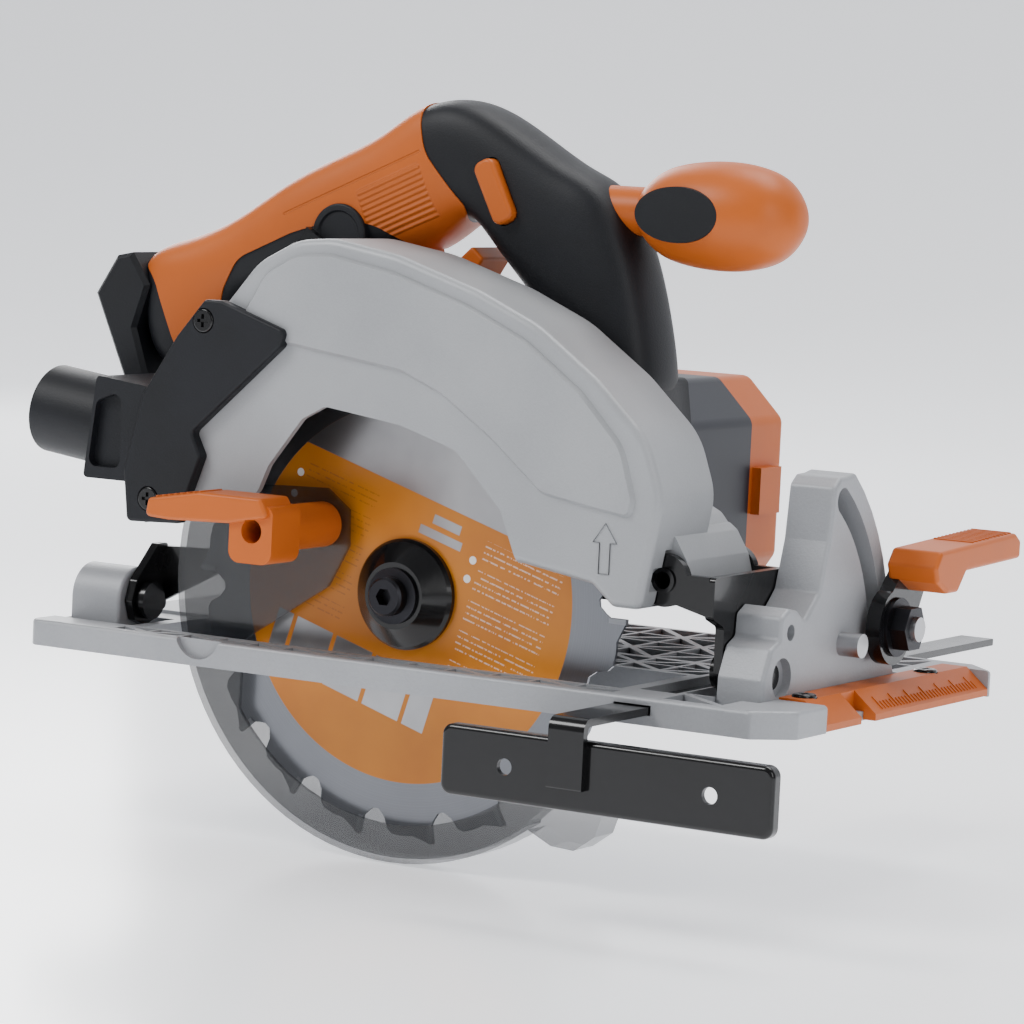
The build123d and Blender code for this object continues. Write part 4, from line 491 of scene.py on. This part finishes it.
# %% Handle loop
handle_y = 32.0
handle_half = 16.4
skin_step = 0.5
rim_round = 0.0068
smoothing = 3
rungs = [((-131, 133.4), (-88, 114.0)), ((-111, 137.6), (-79, 120.2)), ((-90.5, 145.6), (-66, 123.8)),
         ((-70, 160.6), (-50, 128.0)), ((-50, 169.6), (-32, 133.6)), ((-33, 177.0), (-14, 139.0)),
         ((-19, 188.6), (-4, 147.0)), ((-2, 191.6), (2.5, 151.5)), ((15.5, 184.6), (8, 146.0)),
         ((40, 169.0), (18, 135.2)), ((53.5, 166.2), (27, 126.5)), ((67, 143.0), (34.5, 117.0)),
         ((74.6, 112.0), (37.5, 111.5)), ((75.8, 101.0), (36.2, 108.4)), ((74.5, 97.0), (32.5, 107.0)),
         ((68.0, 97.0), (30.0, 106.9)), ((22, 97.2), (10, 106.8)),
         ((-22, 97.2), (-20, 106.5)), ((-31, 84.2), (-46, 106.3)), ((-117.5, 84.2), (-80, 106.0)),
         ((-127.5, 106.5), (-89, 109.5))]


def handle_loop(name, half_width, grow=0.0):
    shape = bmesh.new()
    pairs = [[shape.verts.new(millimetres(x, handle_y - half_width, z)) for x, z in rung] for rung in rungs]
    for (a, b), (c, d) in zip(pairs, pairs[1:] + pairs[:1]):
        shape.faces.new((a, b, d, c))
    grown = bmesh.ops.extrude_face_region(shape, geom=list(shape.faces))
    bmesh.ops.translate(shape, vec=millimetres(0, 2 * half_width, 0),
                        verts=[v for v in grown["geom"] if isinstance(v, bmesh.types.BMVert)])
    bmesh.ops.recalc_face_normals(shape, faces=list(shape.faces))
    rims = [e for e in shape.edges if sorted(round(abs(f.normal.y)) for f in e.link_faces) == [0, 1]]
    bmesh.ops.bevel(shape, geom=rims, offset=rim_round, affect="EDGES", segments=1, profile=0.5, material=-1)
    piece = loose(shape, name)
    smooth = piece.modifiers.new("round", "SUBSURF")
    smooth.levels = smooth.render_levels = smoothing
    settle(piece)
    if grow:
        for vertex in piece.data.vertices:
            vertex.co += vertex.normal * grow / 1000
    return piece


handle_body = handle_loop("handle_body", handle_half)
arch_foot = [(78.2, 74.0), (67.6, 72.5), (64.6, 79.5), (62.0, 84.5), (62.0, 103.0), (74.0, 103.0)]
combine(handle_body, loose(prism(arch_foot, 16.5, 47.5, 2.0), "arch_foot"), "UNION")
print("handle loop", len(handle_body.data.polygons), "faces")

# %% [markdown]
# The orange overmould is a second skin over the rear of the same loop. A copy of the loop, half a millimetre
# fatter, is trimmed to the overmould's outline, so its edge stands proud of the black body all the way
# round.

# %% Orange grip
grip_line = [(-140, 140), (-128.5, 131.5), (-119, 124), (-109, 102), (-104, 97), (-94, 104), (-91, 121),
             (-84, 133), (-62, 143), (-43, 148.5), (-30, 147), (-12.5, 139), (4.5, 153.8), (-11.5, 172),
             (-15, 183), (-18, 200), (-140, 200)]
orange_grip = handle_loop("orange_grip", handle_half, skin_step)
combine(orange_grip, loose(prism(grip_line, 0, 64, 3.0), "trim"), "INTERSECT")
lean = math.atan2(11, 36)


def leaning_box(length, width, low, high, grow=0.0):
    """A box square to the grip's underside, for the trigger's stem to slide in."""
    shape = bmesh.new()
    bmesh.ops.create_cube(shape, size=1.0)
    bmesh.ops.scale(shape, vec=millimetres(length + 2 * grow, width + 2 * grow, high - low),
                    verts=shape.verts)
    bmesh.ops.translate(shape, vec=millimetres(0, 0, (high + low) / 2), verts=shape.verts)
    bmesh.ops.rotate(shape, matrix=Matrix.Rotation(-lean, 3, "Y"), cent=(0, 0, 0), verts=shape.verts)
    bmesh.ops.translate(shape, vec=millimetres(-20, handle_y, 137), verts=shape.verts)
    return shape


for skin in (handle_body, orange_grip):
    combine(skin, loose(leaning_box(12, 8, -14, 14, 0.4), "stem_slot"), "DIFFERENCE")
pill_low, pill_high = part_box("lock_off_button")
pill_turn = math.radians(63)
pill = bmesh.new()
bmesh.ops.create_cube(pill, size=1.0)
bmesh.ops.scale(pill, vec=millimetres(23.0, 24.0, 9.0), verts=pill.verts)
bmesh.ops.bevel(pill, geom=[e for e in pill.edges if abs((e.verts[0].co - e.verts[1].co).y) > 0.01],
                offset=0.0034, affect="EDGES", segments=5, profile=0.5, material=-1)
bmesh.ops.rotate(pill, matrix=Matrix.Rotation(pill_turn, 3, "Y"), cent=(0, 0, 0), verts=pill.verts)
bmesh.ops.translate(pill, vec=((pill_low.x + pill_high.x) / 2, 0.0125, (pill_low.z + pill_high.z) / 2),
                    verts=pill.verts)
combine(handle_body, loose(pill, "button_pocket"), "DIFFERENCE")

# %% [markdown]
# The grip's finish adds two things the mould carries: a patch of fine ribs for the thumb, ahead of the palm,
# and a shallow line that follows the grip. Both are cut by masks on the side view, so no mesh is needed.

# %% Grip finish
grip_finish = moulded("orange_grip_skin", orange, 0.46, 1500, 0.00003, 0.05)
slope = math.radians(24)
along_grip = grip_finish.x * math.cos(slope) + grip_finish.z * math.sin(slope)
over_grip = grip_finish.z * math.cos(slope) - grip_finish.x * math.sin(slope)
ribs = grip_finish.node("ShaderNodeMath", {"operation": "SINE"}, {0: over_grip * (2 * math.pi / 0.0019)})
patch = along_grip.within(0.030, 0.056, 0.0004) * over_grip.within(0.1405, 0.1595, 0.0004)
groove = over_grip.within(0.1625, 0.1632, 0.0002) * along_grip.within(0.0, 0.058, 0.0004)
grain = grip_finish.noise(1500, 2)
grip_finish.raise_by(patch * (ribs * 0.5 + 0.5) * 0.9 - groove * 0.8 + grain * 0.03, 0.0006, 0.9)
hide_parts("handle_shell_left", "handle_shell_right")
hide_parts("grip_left", "grip_right")
complete(handle_body, "saw_head", black_plastic)
complete(orange_grip, "saw_head", grip_finish.material)

# %% [markdown]
# ## Small moulded pieces on the handle
# A round black boss covers the hinge screw under the grip. It is a disc with a rounded rim and a shallow
# dish, made by insetting its face and pushing it in.

# %% Round boss
boss = bmesh.new()
bmesh.ops.create_cone(boss, cap_ends=True, segments=48, radius1=0.0105, radius2=0.0105, depth=0.006,
                      matrix=(Matrix.Translation(millimetres(-43, 17.2, 143))
                              @ Matrix.Rotation(math.pi / 2, 4, "X")))
near_face = min(boss.faces, key=lambda f: f.calc_center_median().y)
bmesh.ops.inset_region(boss, faces=[near_face], thickness=0.0022, depth=0)
bmesh.ops.inset_region(boss, faces=[near_face], thickness=0.0006, depth=-0.0007)
rim = [e for e in boss.edges if e.calc_face_angle(0) > 1.2 and min(v.co.y for v in e.verts) < 0.0145]
bmesh.ops.bevel(boss, geom=rim, offset=0.0007, affect="EDGES", segments=3, profile=0.5, material=-1)
complete(loose(boss, "handle_boss"), "saw_head", black_plastic)

# %% [markdown]
# ## Raised ribs for the fingers
# The tilt lever and the guard lever are both pushed with a thumb, so their tops carry rows of small ribs.
# One rib is a rounded bar, and the row repeats it along the top of the lever.


# %% Ribs
def rib_row(name, places, size, body, material, turn=0.0, axis="X"):
    """A row of rounded bars, each centred on a place in millimetres."""
    row = bmesh.new()
    for place in places:
        turned = Matrix.Translation(millimetres(*place)) @ Matrix.Rotation(turn, 4, axis)
        bar = bmesh.ops.create_cube(row, size=1.0, matrix=turned @ Matrix.Diagonal((*millimetres(*size), 1)))
        edges = list({e for v in bar["verts"] for e in v.link_edges})
        bmesh.ops.bevel(row, geom=edges, offset=min(size) / 1000 * 0.3, affect="EDGES", segments=2,
                        profile=0.5, material=-1)
    complete(loose(row, name), body, material, 60)


grip_low, grip_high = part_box("bevel_lever_grip")
lever_middle_x = (grip_low.x + grip_high.x) * 500
rib_row("tilt_lever_ribs", [(lever_middle_x, 96 + 2.9 * k, 53.35 + 0.125 * k) for k in range(11)],
        (14.6, 1.1, 1.3), "tilt_lever", orange_plastic, math.atan2(2.5, 58))
rib_row("guard_lever_ribs", [(-68.5 + 2.4 * k, -41.0, 56.35 + 0.42 * k) for k in range(8)], (1.0, 12.5, 1.2),
        "lower_guard", orange_plastic, -math.atan2(3.5, 20), "Y")

# %% [markdown]
# ## Marks on the castings
# An arrow is raised on the blade cover to show which way the blade turns. Its outline is one polygon, inset
# to leave a thin ridge. The sight strip at the front edge has a ruler of raised ticks on its sloping face,
# every fifth one longer, without numbers.

# %% Arrow and ruler
cover_near_y = -23.9
arrow_raise = 0.5
arrow_outline = [(84.6, 44.6), (88.4, 44.6), (88.4, 54.4), (90.8, 54.4), (86.5, 60.6), (82.2, 54.4),
                 (84.6, 54.4)]
arrow = bmesh.new()
face = arrow.faces.new([arrow.verts.new(millimetres(x, cover_near_y, z)) for x, z in arrow_outline])
bmesh.ops.inset_region(arrow, faces=[face], thickness=0.0006, depth=0, use_boundary=True)
bmesh.ops.delete(arrow, geom=[face], context="FACES_ONLY")
lifted = bmesh.ops.extrude_face_region(arrow, geom=list(arrow.faces))
bmesh.ops.translate(arrow, vec=millimetres(0, -arrow_raise, 0),
                    verts=[v for v in lifted["geom"] if isinstance(v, bmesh.types.BMVert)])
complete(loose(arrow, "cover_arrow"), "saw_head", cover_paint, 30)
strip_low, strip_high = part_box("front_insert")
slope_angle = math.atan2(9.4 - 2.6, strip_high.x * 1000 - 146.4)
ruler = bmesh.new()
for k in range(32):
    long_tick = 5.4 if k % 5 == 0 else 3.2
    centre_x = strip_high.x * 1000 - 1.0 - long_tick / 2 * math.cos(slope_angle)
    centre_z = 2.6 + (strip_high.x * 1000 - centre_x) * math.tan(slope_angle)
    spot = (Matrix.Translation(millimetres(centre_x, 42.0 + 2.3 * k, centre_z))
            @ Matrix.Rotation(slope_angle, 4, "Y"))
    bmesh.ops.create_cube(ruler, size=1.0,
                          matrix=spot @ Matrix.Diagonal((*millimetres(long_tick, 0.55, 0.7), 1)))
complete(loose(ruler, "sight_ruler"), "base", orange_plastic, 30)

# %% [markdown]
# ## Floor finish
# The table is white and slightly polished, so the saw leaves a faint, blurred reflection below it. It also
# glows a little, as a lit light table does, which keeps the background white while the saw keeps its
# contrast.

# %% Floor
paper = Finish("white_sweep", base_color=(0.94, 0.945, 0.955, 1), specular_ior_level=0.35,
               emission_color=(0.93, 0.95, 1.0, 1), emission_strength=0.62)
paper.show("Roughness", 0.16 + paper.noise(3, 2) * 0.06)
backdrop.data.materials.append(paper.material)
print("floor finished")

# %% [markdown]
# ## Finish

# %% Finish
print("scene built")
